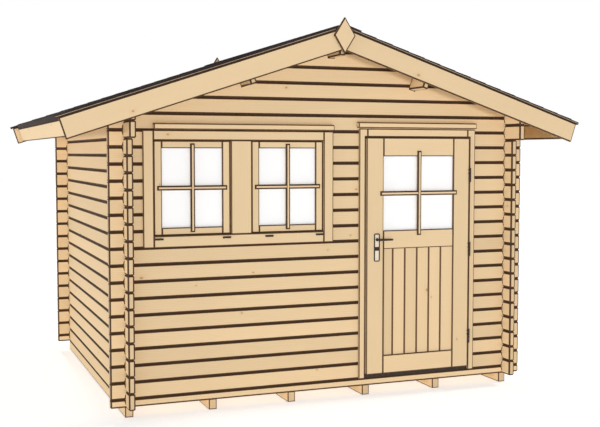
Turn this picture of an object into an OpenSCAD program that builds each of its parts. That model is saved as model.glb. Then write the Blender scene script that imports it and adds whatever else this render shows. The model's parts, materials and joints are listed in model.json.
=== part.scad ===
// Log-built garden house with a glazed door and a double window.
// The origin is the middle of the footprint at ground level, the front faces -Y and +Z is up.

/* [House] */
// Width over the outer faces of the side walls
house_w = 3200; // [2900:10:3600]
// Depth over the outer faces of the front and rear walls
house_d = 2800; // [2000:10:4000]

/* [Bearers and floor] */
// Height of a foundation bearer
bearer_h = 80; // [60:5:120]
// Width of a foundation bearer
bearer_w = 60; // [50:5:80]
// Number of foundation bearers
bearer_count = 6; // [4:1:8]
// Setback of the bearer ends from the front and rear wall faces
bearer_setback = 30; // [0:5:35]
// Thickness of the floor boards
floor_t = 19; // [16:1:28]
// Expansion gap between the floor and the walls
floor_gap = 2; // [1:0.5:5]

/* [Logs] */
// Thickness of a wall log
log_t = 48; // [42:1:60]
// Height that one log covers
log_h = 121; // [115:1:130]
// Length of a log end beyond the crossing wall
log_end = 110; // [80:5:150]
// Depth of the bevel along the log edges
log_bevel = 8; // [3:0.5:9]
// Clearance between stacked logs and in their notches
log_fit = 0.3; // [0.2:0.05:0.5]
// Number of full logs in a side wall below its bevelled top log
side_logs = 17; // [17:1:18]
// Height of the bevelled top log at the outer wall face
top_log_h = 151; // [140:1:190]

/* [Roof] */
// Slope of the roof
roof_slope = 18.3; // [17:0.1:20]
// Overhang of the roof boards beyond the front and rear wall faces
verge = 220; // [180:5:260]
// Overhang of the barge boards beyond the side walls at their top corner
barge_reach = 480; // [420:5:560]
// Height of a barge board
barge_h = 155; // [140:5:180]
// Thickness of the barge and fascia boards
barge_t = 22; // [18:1:28]
// Distance from the end of a barge board to the face of the eave fascia
fascia_inset = 50; // [30:5:70]
// Height of the eave fascia
fascia_h = 128; // [100:2:135]
// Thickness of the roof boards
deck_t = 19; // [16:1:28]
// Thickness of the roof covering
felt_t = 20; // [8:1:24]
// Overhang of the roof covering beyond the ends of the barge boards
felt_lip = 18; // [5:1:30]
// Thickness of the covering where it is folded down over the eave
felt_fold = 5; // [3:0.5:8]
// Height of a purlin, square to the slope
purlin_h = 170; // [150:5:190]
// Distance of a side purlin from the ridge, along the slope
purlin_s = 793; // [700:1:900]
// Height of the ridge purlin
ridge_purlin_h = 180; // [150:5:200]
// Width of the diamond board at the top of the gable
finial_w = 172; // [140:2:200]
// Height of the diamond board
finial_h = 274; // [240:2:300]
// Height of the middle of the diamond board below the top of the ridge
finial_drop = 58; // [40:1:80]

/* [Door] */
// Share of the front wall's free width that lies to the right of the door
door_share = 0.4877; // [0.3:0.0001:0.6]
// Width over the door frame
door_frame_w = 1030; // [950:2:1050]
// Width of the frame around the door
door_casing_w = 50; // [46:1:55]
// Rise of the door frame's top above the window's
door_head_lap = 24.5; // [15.5:0.5:30.5]
// Height of the visible frame above the door
door_head_h = 62; // [50:1:65]
// Gap between the door and its frame
door_gap = 9; // [6:0.5:10]
// Gap above and below the door
door_end_gap = 7; // [5.5:0.5:9]
// Thickness of the door
door_t = 40; // [38:1:45]
// Distance of the door face in front of the frame face
door_proud = 10; // [5:1:12]
// Width of a door stile or rail
stile_w = 145; // [120:1:155]
// Height of the glazed opening in the door
door_glass_h = 582; // [500:2:620]
// Height of the sill strip below the door
sill_h = 24; // [18:1:28]

/* [Window] */
// Share of the front wall's free width that lies to the left of the window
window_share = 0.1948; // [0.18:0.0001:0.25]
// Width over the window frame
window_w = 1477; // [1430:1:1490]
// Course on which the window stands, counted from the half log up
window_course = 9; // [8:1:11]
// Width of the boards at the two ends of the window
window_casing_w = 78; // [70:1:85]
// Width of the board between the two sashes
mullion_w = 160; // [140:2:180]
// Height of the board above the sashes
window_head_h = 71; // [60:1:80]
// Height of the board below the sashes
window_rail_h = 84; // [75:1:90]
// Gap around a sash
sash_gap = 5; // [3:0.5:6]
// Width of a sash stile
sash_stile_w = 58; // [50:1:65]
// Height of a sash rail
sash_rail_h = 53; // [48:1:60]
// Thickness of a sash
sash_t = 40; // [34:1:42]
// Setback of the sash face from the frame face
sash_setback = 15; // [8:1:18]

/* [Frames and trim] */
// Thickness of the casing on the faces of the wall
casing_t = 20; // [16:1:24]
// Overlap of the casing over the log ends
casing_lap = 25; // [18:1:30]
// Height of a drip strip
drip_h = 48; // [40:1:52]
// Depth of a drip strip from the wall face
drip_d = 44; // [40:1:50]
// Gap between the top of a frame and the drip strip over it
drip_gap = 6; // [2:1:8]
// Overhang of the door's drip strip on the lock side
drip_lap = 16; // [0:1:25]
// Thickness of the glass
glass_t = 4; // [3:0.5:6]
// Depth of the grooves that hold glass and panel
groove = 8; // [6:1:10]

/* [Ironmongery] */
// Radius of a door hinge barrel
hinge_r = 8; // [7:0.5:9]
// Length of a door hinge barrel
hinge_l = 114; // [90:2:120]
// Radius of the pin inside a door hinge
hinge_pin_r = 4; // [3.5:0.25:4.5]
// Width of the handle plate
plate_w = 50; // [40:1:56]
// Height of the handle plate
plate_h = 221; // [200:1:240]
// Thickness of the handle plate
plate_t = 4; // [3:0.5:6]
// Length of the door lever from its pivot
lever_l = 122; // [100:1:130]
// Radius of the lever
lever_r = 8; // [6:0.5:9]
// Length of a window hinge
window_hinge_l = 62; // [50:1:70]
// Radius of a window hinge barrel
window_hinge_r = 7; // [5:0.5:8]

/* [Hidden] */
$fn = 48;

spruce = [0.88, 0.76, 0.58];
pale_spruce = [0.91, 0.80, 0.63];
felt_brown = [0.29, 0.24, 0.23];
dark_metal = [0.20, 0.16, 0.14];
steel = [0.72, 0.70, 0.66];
clear_glass = [0.85, 0.93, 0.95, 0.4];

seat = 0.3;                        // clearance where one piece is set against another
half_w = house_w / 2;
half_d = house_d / 2;
wall_z = bearer_h;                 // underside of the walls
front_rows = side_logs - 1;        // full logs of the front wall up to the window and door heads
lintel_row = side_logs;
eave_z = side_logs * log_h + top_log_h;
rise = half_w * tan(roof_slope);
roof_z = eave_z + rise;            // underside of the roof boards at the ridge, above wall_z
ridge_z = roof_z + deck_t / cos(roof_slope);
gable_rows = ceil((roof_z / log_h) - 0.5);
bite = 1;                          // how far a cutting tool runs past a face
far = 9000;                        // longer than the house in any direction

barge_s = (half_w + barge_reach) / cos(roof_slope);
fascia_s = barge_s - fascia_inset;
deck_half = half_d + verge;
barge_face = deck_half + barge_t;

free_w = house_w - window_w - door_frame_w;    // front wall not taken up by the window and door
door_x = half_w - door_share * free_w - door_frame_w / 2;      // middle of the door
window_x = -half_w + window_share * free_w + window_w / 2;     // middle of the window
door_open_w = door_frame_w - 2 * casing_lap;
door_clear_w = door_frame_w - 2 * door_casing_w;
door_l = door_x - door_open_w / 2;
door_r = door_x + door_open_w / 2;
door_bottom = log_h / 2;
head_z = (front_rows + 0.5) * log_h;   // underside of the log over the window and the door
door_frame_top = head_z + door_head_lap;
door_head_z = door_frame_top - door_head_h;
leaf_w = door_clear_w - 2 * door_gap;
leaf_z0 = door_bottom + sill_h + door_end_gap;
leaf_z1 = door_head_z - door_end_gap;
leaf_l = door_x - leaf_w / 2;
leaf_r = door_x + leaf_w / 2;
leaf_y = -casing_t - door_proud;   // door face, measured from the front wall face
door_stop = 20;                    // how far the stop stands in behind the door
door_stop_gap = 5;                 // gap between the shut door and its stop
door_glass_z1 = leaf_z1 - stile_w;
door_glass_z0 = door_glass_z1 - door_glass_h;
panel_z1 = door_glass_z0 - stile_w;
panel_z0 = leaf_z0 + stile_w;
panel_t = 22;                      // thickness of the boarded door panel
panel_back = 12;                   // setback of the panel from the door face

window_z0 = (window_course + 0.5) * log_h;
window_l = window_x - window_w / 2 + casing_lap;
window_r = window_x + window_w / 2 - casing_lap;
sash_open_w = (window_w - 2 * window_casing_w - mullion_w) / 2;
sash_open_z0 = window_z0 + window_rail_h;
sash_open_z1 = head_z - window_head_h;
sash_open_h = sash_open_z1 - sash_open_z0;
sash_x = (mullion_w + sash_open_w) / 2;    // from the window's centre to a sash's centre
sash_stop = 14;                    // how far the stop stands in behind a sash
sash_y = sash_setback - casing_t;  // sash face, measured from the front wall face

hinge_x = leaf_r + door_gap / 2;
hinge_y = leaf_y - hinge_r;
hinge_heights = [1655, 1056, 344]; // middles of the three door hinges above the wall bottom
hinge_split = 0.5;                 // gap between the two halves of a hinge barrel
pin_fit = 0.05;                    // running clearance of the pins
pin_l = hinge_l * 0.9;             // length of a pin from the foot of its barrel
screw_r = 3.5;                     // radius of the hinge screws
screw_l = 42;                      // length of a hinge screw from the barrel's axis
leaf_screw_turn = 55;              // turn of the screws that enter the door
frame_screw_turn = -40;            // turn of the screws that enter the frame
lever_x = leaf_l + 87;             // the lever's pivot, in from the door's free edge
lever_z = 1156;                    // height of the lever's pivot above the wall bottom
lever_float = 0.5;                 // gap between the lever's neck and the door face
lever_reach = 42;                  // from the door face to the lever's middle
spindle_r = 4;                     // radius of the bar that joins the two levers
spindle_fit = 1;                   // clearance of that bar in the door
plate_z = 1094;                    // middle of the handle plates above the wall bottom
neck_r = 9;                        // radius of the lever's neck
key_r = 8;                         // radius of the lock cylinder
key_drop = 72;                     // from the lever's pivot down to the lock cylinder

// A box given by its low and high corners
module block(low, high) {
    translate(low) cube(high - low);
}

// Everything inside is moved from wall coordinates, where y = 0 is the front wall's outer face
module at_front() {
    translate([0, -half_d, wall_z]) children();
}

// A log's section, laid in the y and z directions
module log_section(h) {
    polygon([[0, log_bevel], [log_bevel, 0], [log_t - log_bevel, 0], [log_t, log_bevel],
             [log_t, h - log_bevel], [log_t - log_bevel, h], [log_bevel, h], [0, h - log_bevel]]);
}

// A log along x from x0 to x1 between the heights z0 and z1
module log_x(x0, x1, z0, z1) {
    translate([x0, 0, z0 + log_fit / 2])
        rotate([90, 0, 90])
            linear_extrude(x1 - x0)
                log_section(z1 - z0 - log_fit);
}

// The two corner notches of a front or rear log, which leave its middle half at z
module notches_x(z) {
    for (side = [-1, 1])
        translate([side * (half_w - log_t / 2), log_t / 2, 0])
            for (up = [-1, 1])
                translate([0, 0, z + up * (log_h / 4 - log_fit / 2 + log_h)])
                    cube([log_t + log_fit, log_t + 2 * bite, 2 * log_h], center = true);
}

// One full log of the front wall, row n, between x0 and x1
module front_log(n, x0, x1) {
    difference() {
        log_x(x0, x1, max(0, (n - 0.5) * log_h), (n + 0.5) * log_h);
        notches_x(n * log_h);
    }
}

// A side wall log, row m, running from -reach to reach along y
module side_log(m, reach) {
    difference() {
        rotate([0, 0, -90])
            log_x(-reach, reach, (m - 1) * log_h, m * log_h);
        side_notches((m - 0.5) * log_h);
    }
}

// The notches of a side log, which leave its middle half at z
module side_notches(z) {
    for (end = [-1, 1])
        for (up = [-1, 1])
            translate([log_t / 2, end * (half_d - log_t / 2), z + up * (1.25 * log_h - log_fit / 2)])
                cube([log_t + 2 * bite, log_t + log_fit, 2 * log_h], center = true);
}

// Puts a side wall piece, drawn with its outer face at x = 0, on the left (-1) or right (1) wall
module at_side(side) {
    translate([side * half_w, 0, wall_z])
        mirror([side > 0 ? 1 : 0, 0, 0])
            children();
}

// A point on the right roof slope: s down the slope from the ridge, n square to it
function slope_point(s, n) = [s * cos(roof_slope) + n * sin(roof_slope),
                              ridge_z - s * sin(roof_slope) + n * cos(roof_slope)];

// The height at distance x from the ridge of the plane that lies n above the roof boards
function slope_height(x, n) = ridge_z + n / cos(roof_slope) - x * tan(roof_slope);

// A layer of the right slope between n0 and n1, from the ridge to s, as an outline in x and z
module slope_layer(s, n0, n1) {
    polygon([[seat / 2, slope_height(seat / 2, n0)], slope_point(s, n0),
             slope_point(s, n1), [seat / 2, slope_height(seat / 2, n1)]]);
}

// Draws an outline in x and z as a solid between y0 and y1
module along_y(y0, y1) {
    translate([0, y1, wall_z])
        rotate([90, 0, 0])
            linear_extrude(y1 - y0)
                children();
}

// Puts a piece of the right roof slope on the left (-1) or the right (1)
module on_side(side) {
    mirror([side < 0 ? 1 : 0, 0, 0]) children();
}

// The outline of a side purlin on the right slope, grown by g
module purlin_outline(g) {
    w = log_t / 2 + g;
    top = -deck_t - seat / 2;
    low = -deck_t - purlin_h - g;
    polygon([slope_point(purlin_s - w, low), slope_point(purlin_s + w, low),
             slope_point(purlin_s + w, top), slope_point(purlin_s - w, top)]);
}

// The outline of the ridge purlin, grown by g
module ridge_purlin_outline(g) {
    w = log_t / 2 + g;
    top = -deck_t - seat;
    polygon([[-w, roof_z - ridge_purlin_h - g], [w, roof_z - ridge_purlin_h - g],
             [w, slope_height(w, top)], [0, slope_height(0, top)], [-w, slope_height(w, top)]]);
}

// The room under the roof boards that the gable logs fill
module gable_outline() {
    x = half_w - log_t - seat;
    top = -deck_t - seat;
    low = (lintel_row + 0.5) * log_h;
    difference() {
        polygon([[-x, low], [x, low], [x, slope_height(x, top)],
                 [0, slope_height(0, top)], [-x, slope_height(x, top)]]);
        ridge_purlin_outline(seat);
        for (side = [0, 1])
            mirror([side, 0]) {
                purlin_outline(seat);
                // the thin tongue of log left above and outside the purlin is cut away
                translate([slope_point(purlin_s, 0)[0], (lintel_row + 3.5) * log_h])
                    square(far);
            }
    }
}

// The gable above the front wall's lintel log
module gable() {
    intersection() {
        union()
            for (n = [lintel_row + 1 : gable_rows])
                log_x(-half_w, half_w, (n - 0.5) * log_h, (n + 0.5) * log_h);
        translate([0, 0, -wall_z])
            along_y(-bite, log_t + bite)
                gable_outline();
    }
}

// Foundation bearers, running from front to back
module foundation_bearers() {
    pitch = (house_w - bearer_w) / (bearer_count - 1);
    color(spruce)
        for (i = [0 : bearer_count - 1])
            translate([-half_w + i * pitch, -half_d + bearer_setback, 0])
                cube([bearer_w, house_d - 2 * bearer_setback, bearer_h]);
}

// Floor boards, laid on the bearers between the walls
module floor_boards() {
    x = half_w - log_t - floor_gap;
    y = half_d - log_t - floor_gap;
    color(pale_spruce)
        block([-x, -y, wall_z], [x, y, wall_z + floor_t]);
}

// Half log under the front wall and the door
module front_sill_log() {
    color(spruce)
        at_front()
            front_log(0, -half_w - log_end, half_w + log_end);
}

// Front wall below the window, up to the door
module front_wall_lower() {
    color(spruce)
        at_front()
            for (n = [1 : window_course])
                front_log(n, -half_w - log_end, door_l);
}

// Front wall between the left corner and the window
module front_wall_left() {
    color(spruce)
        at_front()
            for (n = [window_course + 1 : front_rows])
                front_log(n, -half_w - log_end, window_l);
}

// Front wall between the window and the door
module front_wall_pier() {
    color(spruce)
        at_front()
            for (n = [window_course + 1 : front_rows])
                front_log(n, window_r, door_l);
}

// Front wall between the door and the right corner
module front_wall_right() {
    color(spruce)
        at_front()
            for (n = [1 : front_rows])
                front_log(n, door_r, half_w + log_end);
}

// Log that runs over the window and the door
module front_lintel_log() {
    color(spruce)
        at_front()
            front_log(lintel_row, -half_w - log_end, half_w + log_end);
}

// Gable logs of the front wall
module front_gable() {
    color(spruce)
        at_front()
            gable();
}

// Rear wall, from its half log up to the lintel height
module rear_wall() {
    color(spruce)
        mirror([0, 1, 0])
            at_front()
                for (n = [0 : lintel_row])
                    front_log(n, -half_w - log_end, half_w + log_end);
}

// Gable logs of the rear wall
module rear_gable() {
    color(spruce)
        mirror([0, 1, 0])
            at_front()
                gable();
}

// Regular logs of one side wall
module side_wall(side) {
    color(pale_spruce)
        at_side(side)
            for (m = [1 : side_logs - 1])
                side_log(m, half_d + log_end);
}

// The two top logs of one side wall, which run out to carry the roof
module eave_logs(side) {
    x = half_w - log_t;
    low = side_logs * log_h + log_fit / 2;
    color(pale_spruce) {
        at_side(side)
            side_log(side_logs, deck_half);
        difference() {
            on_side(side)
                along_y(-deck_half, deck_half)
                    polygon([[x, low + log_bevel], [x + log_bevel, low], [half_w - log_bevel, low],
                             [half_w, low + log_bevel], [half_w, slope_height(half_w, -deck_t - seat)],
                             [x, slope_height(x, -deck_t - seat)]]);
            at_side(side)
                for (end = [-1, 1])
                    translate([log_t / 2, end * (half_d - log_t / 2), low + log_h / 4 - log_h / 2])
                        cube([log_t + 2 * bite, log_t + log_fit, log_h], center = true);
        }
    }
}

module left_wall() {
    side_wall(-1);
}

module right_wall() {
    side_wall(1);
}

module left_eave_logs() {
    eave_logs(-1);
}

module right_eave_logs() {
    eave_logs(1);
}

// Purlin under the ridge
module ridge_purlin() {
    color(spruce)
        along_y(-deck_half, deck_half)
            ridge_purlin_outline(0);
}

// Purlin half way down one slope
module side_purlin(side) {
    color(spruce)
        on_side(side)
            along_y(-deck_half, deck_half)
                purlin_outline(0);
}

module left_purlin() {
    side_purlin(-1);
}

module right_purlin() {
    side_purlin(1);
}

// Roof boards of one slope
module roof_boards(side) {
    color(pale_spruce)
        on_side(side)
            along_y(-deck_half, deck_half)
                slope_layer(fascia_s, -deck_t, 0);
}

module roof_boards_left() {
    roof_boards(-1);
}

module roof_boards_right() {
    roof_boards(1);
}

// The covering's section between the barge boards, folded down over the eave
module felt_section() {
    fold_s = fascia_s + felt_fold;
    polygon([[seat / 2, slope_height(seat / 2, 0)], slope_point(fascia_s, 0),
             slope_point(fascia_s, -deck_t - seat), slope_point(fold_s, -deck_t - seat),
             slope_point(fold_s, felt_t), [seat / 2, slope_height(seat / 2, felt_t)]]);
}

// Covering of one slope, run out over the barge boards at both ends
module roof_felt(side) {
    color(felt_brown)
        on_side(side) {
            along_y(-deck_half, deck_half)
                felt_section();
            for (end = [0, 1])
                mirror([0, end, 0])
                    along_y(-barge_face, -deck_half)
                        slope_layer(barge_s + felt_lip, 0, felt_t);
        }
}

module roof_felt_left() {
    roof_felt(-1);
}

module roof_felt_right() {
    roof_felt(1);
}

// Barge board of one slope at the front (-1) or the rear (1)
module barge_board(side, end) {
    color(pale_spruce)
        mirror([0, end > 0 ? 1 : 0, 0])
            on_side(side)
                along_y(-barge_face, -deck_half)
                    slope_layer(barge_s, -barge_h, 0);
}

module front_barge_left() {
    barge_board(-1, -1);
}

module front_barge_right() {
    barge_board(1, -1);
}

module rear_barge_left() {
    barge_board(-1, 1);
}

module rear_barge_right() {
    barge_board(1, 1);
}

// Fascia under the eave of one slope
module fascia(side) {
    top = -deck_t - seat;
    low = top - fascia_h;
    color(pale_spruce)
        on_side(side)
            along_y(-deck_half, deck_half)
                polygon([slope_point(fascia_s - barge_t, low), slope_point(fascia_s, low),
                         slope_point(fascia_s, top), slope_point(fascia_s - barge_t, top)]);
}

module left_fascia() {
    fascia(-1);
}

module right_fascia() {
    fascia(1);
}

// Diamond board over the meeting of two barge boards
module finial() {
    mid = ridge_z - finial_drop;
    along_y(-barge_face - barge_t, -barge_face)
        polygon([[0, mid - finial_h / 2], [finial_w / 2, mid],
                 [0, mid + finial_h / 2], [-finial_w / 2, mid]]);
}

module front_finial() {
    color(pale_spruce)
        finial();
}

module rear_finial() {
    color(pale_spruce)
        mirror([0, 1, 0])
            finial();
}

// A box through the wall for one sash of the window, grown inwards by g
module sash_hole(side, g, y0, y1) {
    block([window_x + side * sash_x - sash_open_w / 2 + g, y0, sash_open_z0 + g],
          [window_x + side * sash_x + sash_open_w / 2 - g, y1, sash_open_z1 - g]);
}

// Window frame: boards on both faces of the wall, joined by a lining between the logs
module window_frame() {
    lining_x = window_w / 2 - casing_lap - seat;
    color(pale_spruce)
        at_front()
            difference() {
                union() {
                    for (y = [-casing_t, log_t])
                        block([window_x - window_w / 2, y, window_z0 + seat],
                              [window_x + window_w / 2, y + casing_t, head_z - seat]);
                    block([window_x - lining_x, -bite, window_z0 + seat],
                          [window_x + lining_x, log_t + bite, head_z - seat]);
                }
                for (side = [-1, 1]) {
                    sash_hole(side, 0, -casing_t - bite, sash_y + sash_t);
                    sash_hole(side, sash_stop, 0, log_t + casing_t + bite);
                }
            }
}

// Strip that throws rain off the window head
module window_drip() {
    x0 = window_x - window_w / 2 + window_casing_w;
    color(pale_spruce)
        at_front()
            drip_strip(x0, window_x + window_w / 2, head_z + drip_gap);
}

// A drip strip on the wall face, its top sloped towards the front
module drip_strip(x0, x1, z0) {
    fall = 6;
    translate([x0, 0, z0])
        rotate([90, 0, 90])
            linear_extrude(x1 - x0)
                polygon([[-drip_d, 0], [0, 0], [0, drip_h], [-drip_d, drip_h - fall]]);
}

// A sash frame with a groove for its glass
module sash(side) {
    x = window_x + side * sash_x;
    w = sash_open_w / 2 - sash_gap;
    z0 = sash_open_z0 + sash_gap;
    z1 = sash_open_z1 - sash_gap;
    y = sash_y + sash_t / 2;
    color(pale_spruce)
        at_front()
            difference() {
                block([x - w, sash_y, z0], [x + w, sash_y + sash_t - seat, z1]);
                block([x - w + sash_stile_w, sash_y - bite, z0 + sash_rail_h],
                      [x + w - sash_stile_w, sash_y + sash_t + bite, z1 - sash_rail_h]);
                block([x - w + sash_stile_w - groove, y - glass_t / 2, z0 + sash_rail_h - groove],
                      [x + w - sash_stile_w + groove, y + glass_t / 2, z1 - sash_rail_h + groove]);
            }
}

// The pane of one sash, set in its groove
module sash_glass(side) {
    x = window_x + side * sash_x;
    w = sash_open_w / 2 - sash_gap - sash_stile_w + groove - seat;
    z0 = sash_open_z0 + sash_gap + sash_rail_h - groove + seat;
    z1 = sash_open_z1 - sash_gap - sash_rail_h + groove - seat;
    y = sash_y + sash_t / 2;
    t = glass_t / 2 - seat / 2;
    color(clear_glass)
        at_front()
            block([x - w, y - t, z0], [x + w, y + t, z1]);
}

module left_sash() {
    sash(-1);
}

module right_sash() {
    sash(1);
}

module left_glass() {
    sash_glass(-1);
}

module right_glass() {
    sash_glass(1);
}

// Small hinges on the board below the two sashes
module window_hinges() {
    rail_drop = 22;
    inset = 100;
    half_open = sash_open_w / 2 - window_hinge_l / 2 - sash_gap;
    places = [-sash_x - half_open, -sash_x + half_open, sash_x - half_open + inset, sash_x + half_open];
    color(dark_metal)
        at_front()
            for (p = places)
                translate([window_x + p, -casing_t - window_hinge_r, sash_open_z0 - rail_drop]) {
                    rotate([0, 90, 0])
                        cylinder(r = window_hinge_r, h = window_hinge_l, center = true);
                    translate([0, window_hinge_r / 2, 0])
                        cube([window_hinge_l, window_hinge_r, window_hinge_r], center = true);
                }
}

// The screws of one door hinge half, turned about the barrel's axis, grown by g
module hinge_screws(turn, z, g) {
    spread = hinge_l / 8;
    for (dz = [-spread, spread])
        translate([hinge_x, hinge_y, z + dz])
            rotate([0, 0, turn])
                rotate([-90, 0, 0])
                    cylinder(r = screw_r + g, h = screw_l + g);
}

// Door frame: casings on both faces of the wall, a lining between the logs and a stop
module door_frame() {
    clear = door_clear_w / 2;
    stop_y = leaf_y + door_t + door_stop_gap;
    top = head_z - seat;
    color(pale_spruce)
        at_front()
            difference() {
                union() {
                    for (y = [-casing_t, log_t])
                        block([door_x - door_frame_w / 2, y, door_bottom + seat],
                              [door_x + door_frame_w / 2, y + casing_t, door_frame_top]);
                    block([door_l + seat, -bite, door_bottom + seat], [door_r - seat, log_t + bite, top]);
                }
                block([door_x - clear, -casing_t - bite, 0], [door_x + clear, stop_y, door_head_z]);
                block([door_x - clear + door_stop, 0, 0],
                      [door_x + clear - door_stop, log_t + casing_t + bite, door_head_z - door_stop]);
                for (z = hinge_heights)
                    hinge_screws(frame_screw_turn, z - hinge_l / 4, pin_fit);
            }
}

// Strip that throws rain off the door head
module door_drip() {
    color(pale_spruce)
        at_front()
            drip_strip(door_x - door_frame_w / 2 - drip_lap, door_x + door_frame_w / 2,
                       door_frame_top + drip_gap);
}

// Sill strip between the feet of the door frame, wider in front of the stop
module door_threshold() {
    wide = door_clear_w / 2 - seat;
    narrow = wide - door_stop;
    stop_y = leaf_y + door_t + door_stop_gap;
    top = door_bottom + sill_h;
    color(dark_metal)
        at_front()
            union() {
                block([door_x - wide, 0, door_bottom], [door_x + wide, stop_y - seat, top]);
                block([door_x - narrow, 0, door_bottom], [door_x + narrow, log_t, top]);
            }
}

// Lower halves of the hinges, with the pins, fixed to the frame
module frame_hinges() {
    color(dark_metal)
        at_front()
            for (z = hinge_heights)
                union() {
                    translate([hinge_x, hinge_y, z - hinge_l / 2])
                        cylinder(r = hinge_r, h = (hinge_l - hinge_split) / 2);
                    translate([hinge_x, hinge_y, z - hinge_l / 2])
                        cylinder(r = hinge_pin_r, h = pin_l);
                    hinge_screws(frame_screw_turn, z - hinge_l / 4, 0);
                }
}

// Upper halves of the hinges, bored for the pins, fixed to the door
module leaf_hinges() {
    bore_l = pin_l - hinge_l / 2 + hinge_split;
    color(dark_metal)
        at_front()
            for (z = hinge_heights)
                difference() {
                    union() {
                        translate([hinge_x, hinge_y, z + hinge_split / 2])
                            cylinder(r = hinge_r, h = (hinge_l - hinge_split) / 2);
                        hinge_screws(leaf_screw_turn, z + hinge_l / 4, 0);
                    }
                    translate([hinge_x, hinge_y, z - bite])
                        cylinder(r = hinge_pin_r + pin_fit, h = bore_l + 2 * bite);
                }
}

// Door frame of stiles and rails, with grooves for the glass and the panel
module door_leaf() {
    x0 = leaf_l + stile_w;
    x1 = leaf_r - stile_w;
    glass_y = leaf_y + door_t / 2;
    panel_y = leaf_y + panel_back;
    color(pale_spruce)
        at_front()
            difference() {
                block([leaf_l, leaf_y, leaf_z0], [leaf_r, leaf_y + door_t, leaf_z1]);
                block([x0, leaf_y - bite, door_glass_z0], [x1, leaf_y + door_t + bite, door_glass_z1]);
                block([x0 - groove, glass_y - glass_t / 2, door_glass_z0 - groove],
                      [x1 + groove, glass_y + glass_t / 2, door_glass_z1 + groove]);
                block([x0, leaf_y - bite, panel_z0], [x1, leaf_y + door_t + bite, panel_z1]);
                block([x0 - groove, panel_y, panel_z0 - groove],
                      [x1 + groove, panel_y + panel_t, panel_z1 + groove]);
                for (z = hinge_heights)
                    hinge_screws(leaf_screw_turn, z + hinge_l / 4, pin_fit);
                translate([lever_x, leaf_y - bite, lever_z])
                    rotate([-90, 0, 0])
                        cylinder(r = spindle_r + spindle_fit, h = door_t + 2 * bite);
                translate([lever_x, leaf_y - bite, lever_z - key_drop])
                    rotate([-90, 0, 0])
                        cylinder(r = key_r + pin_fit, h = door_t + 2 * bite);
            }
}

// Boarded panel in the lower part of the door
module door_panel() {
    x0 = leaf_l + stile_w - groove + seat;
    x1 = leaf_r - stile_w + groove - seat;
    y = leaf_y + panel_back + seat / 2;
    color(spruce)
        at_front()
            block([x0, y, panel_z0 - groove + seat], [x1, y + panel_t - seat, panel_z1 + groove - seat]);
}

// The pane of the door, set in its groove
module door_glass() {
    x0 = leaf_l + stile_w - groove + seat;
    x1 = leaf_r - stile_w + groove - seat;
    y = leaf_y + door_t / 2;
    t = glass_t / 2 - seat / 2;
    color(clear_glass)
        at_front()
            block([x0, y - t, door_glass_z0 - groove + seat], [x1, y + t, door_glass_z1 + groove - seat]);
}

// One handle plate, lying against a face of the door, with its round ends
module handle_plate(y) {
    translate([lever_x, y, 0])
        rotate([-90, 0, 0])
            difference() {
                union() {
                    translate([-plate_w / 2, -plate_z - plate_h / 2 + plate_w / 4, 0])
                        cube([plate_w, plate_h - plate_w / 2, plate_t]);
                    for (up = [-1, 1])
                        for (side = [-1, 1])
                            translate([side * plate_w / 4, -plate_z + up * (plate_h / 2 - plate_w / 4), 0])
                                cylinder(r = plate_w / 4, h = plate_t);
                    for (up = [-1, 1])
                        translate([0, -plate_z + up * (plate_h / 2 - plate_w / 8), plate_t / 2])
                            cube([plate_w / 2, plate_w / 4, plate_t], center = true);
                }
                translate([0, -lever_z, -bite])
                    cylinder(r = neck_r + pin_fit, h = plate_t + 2 * bite);
                translate([0, -lever_z + key_drop, -bite])
                    cylinder(r = key_r + pin_fit, h = plate_t + 2 * bite);
            }
}

// Handle plates on both faces of the door
module handle_plates() {
    color(steel)
        at_front() {
            handle_plate(leaf_y - plate_t);
            handle_plate(leaf_y + door_t);
        }
}

// Lock cylinder through the door and both plates
module lock_cylinder() {
    reach = 4;
    color(dark_metal)
        at_front()
            translate([lever_x, leaf_y - plate_t - reach, lever_z - key_drop])
                rotate([-90, 0, 0])
                    cylinder(r = key_r, h = door_t + 2 * plate_t + 2 * reach);
}

// One lever with its neck, standing out towards -y from the door face at y = 0
module lever() {
    translate([0, -lever_float, 0])
        rotate([90, 0, 0])
            cylinder(r = neck_r, h = lever_reach - lever_float);
    translate([0, -lever_reach, 0]) {
        sphere(r = neck_r);
        rotate([0, 90, 0])
            cylinder(r = lever_r, h = lever_l - lever_r);
        translate([lever_l - lever_r, 0, 0])
            sphere(r = lever_r);
    }
}

// The levers of both faces, joined by their spindle
module door_lever() {
    color(dark_metal)
        at_front()
            translate([lever_x, 0, lever_z]) {
                translate([0, leaf_y, 0])
                    lever();
                translate([0, leaf_y + door_t, 0])
                    mirror([0, 1, 0])
                        lever();
                translate([0, leaf_y - bite, 0])
                    rotate([-90, 0, 0])
                        cylinder(r = spindle_r, h = door_t + 2 * bite);
            }
}

foundation_bearers();
floor_boards();
front_sill_log();
front_wall_lower();
front_wall_left();
front_wall_pier();
front_wall_right();
front_lintel_log();
front_gable();
rear_wall();
rear_gable();
left_wall();
right_wall();
left_eave_logs();
right_eave_logs();
ridge_purlin();
left_purlin();
right_purlin();
roof_boards_left();
roof_boards_right();
roof_felt_left();
roof_felt_right();
front_barge_left();
front_barge_right();
rear_barge_left();
rear_barge_right();
left_fascia();
right_fascia();
front_finial();
rear_finial();
window_frame();
window_drip();
left_sash();
right_sash();
left_glass();
right_glass();
window_hinges();
door_frame();
door_drip();
door_threshold();
frame_hinges();
door_leaf();
door_panel();
door_glass();
leaf_hinges();
handle_plates();
lock_cylinder();
door_lever();
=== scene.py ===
"""Looks of a log-built garden house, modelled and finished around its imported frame.

Every place and size is worked out from the frame's own nodes, in metres: +Z is up, the front with
the door and the window faces -Y, and the origin is on the ground in the middle of the footprint.
"""

from __future__ import annotations

import json
import logging
import math
from dataclasses import dataclass
from enum import Enum
from typing import Iterable, Sequence, Union

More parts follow.
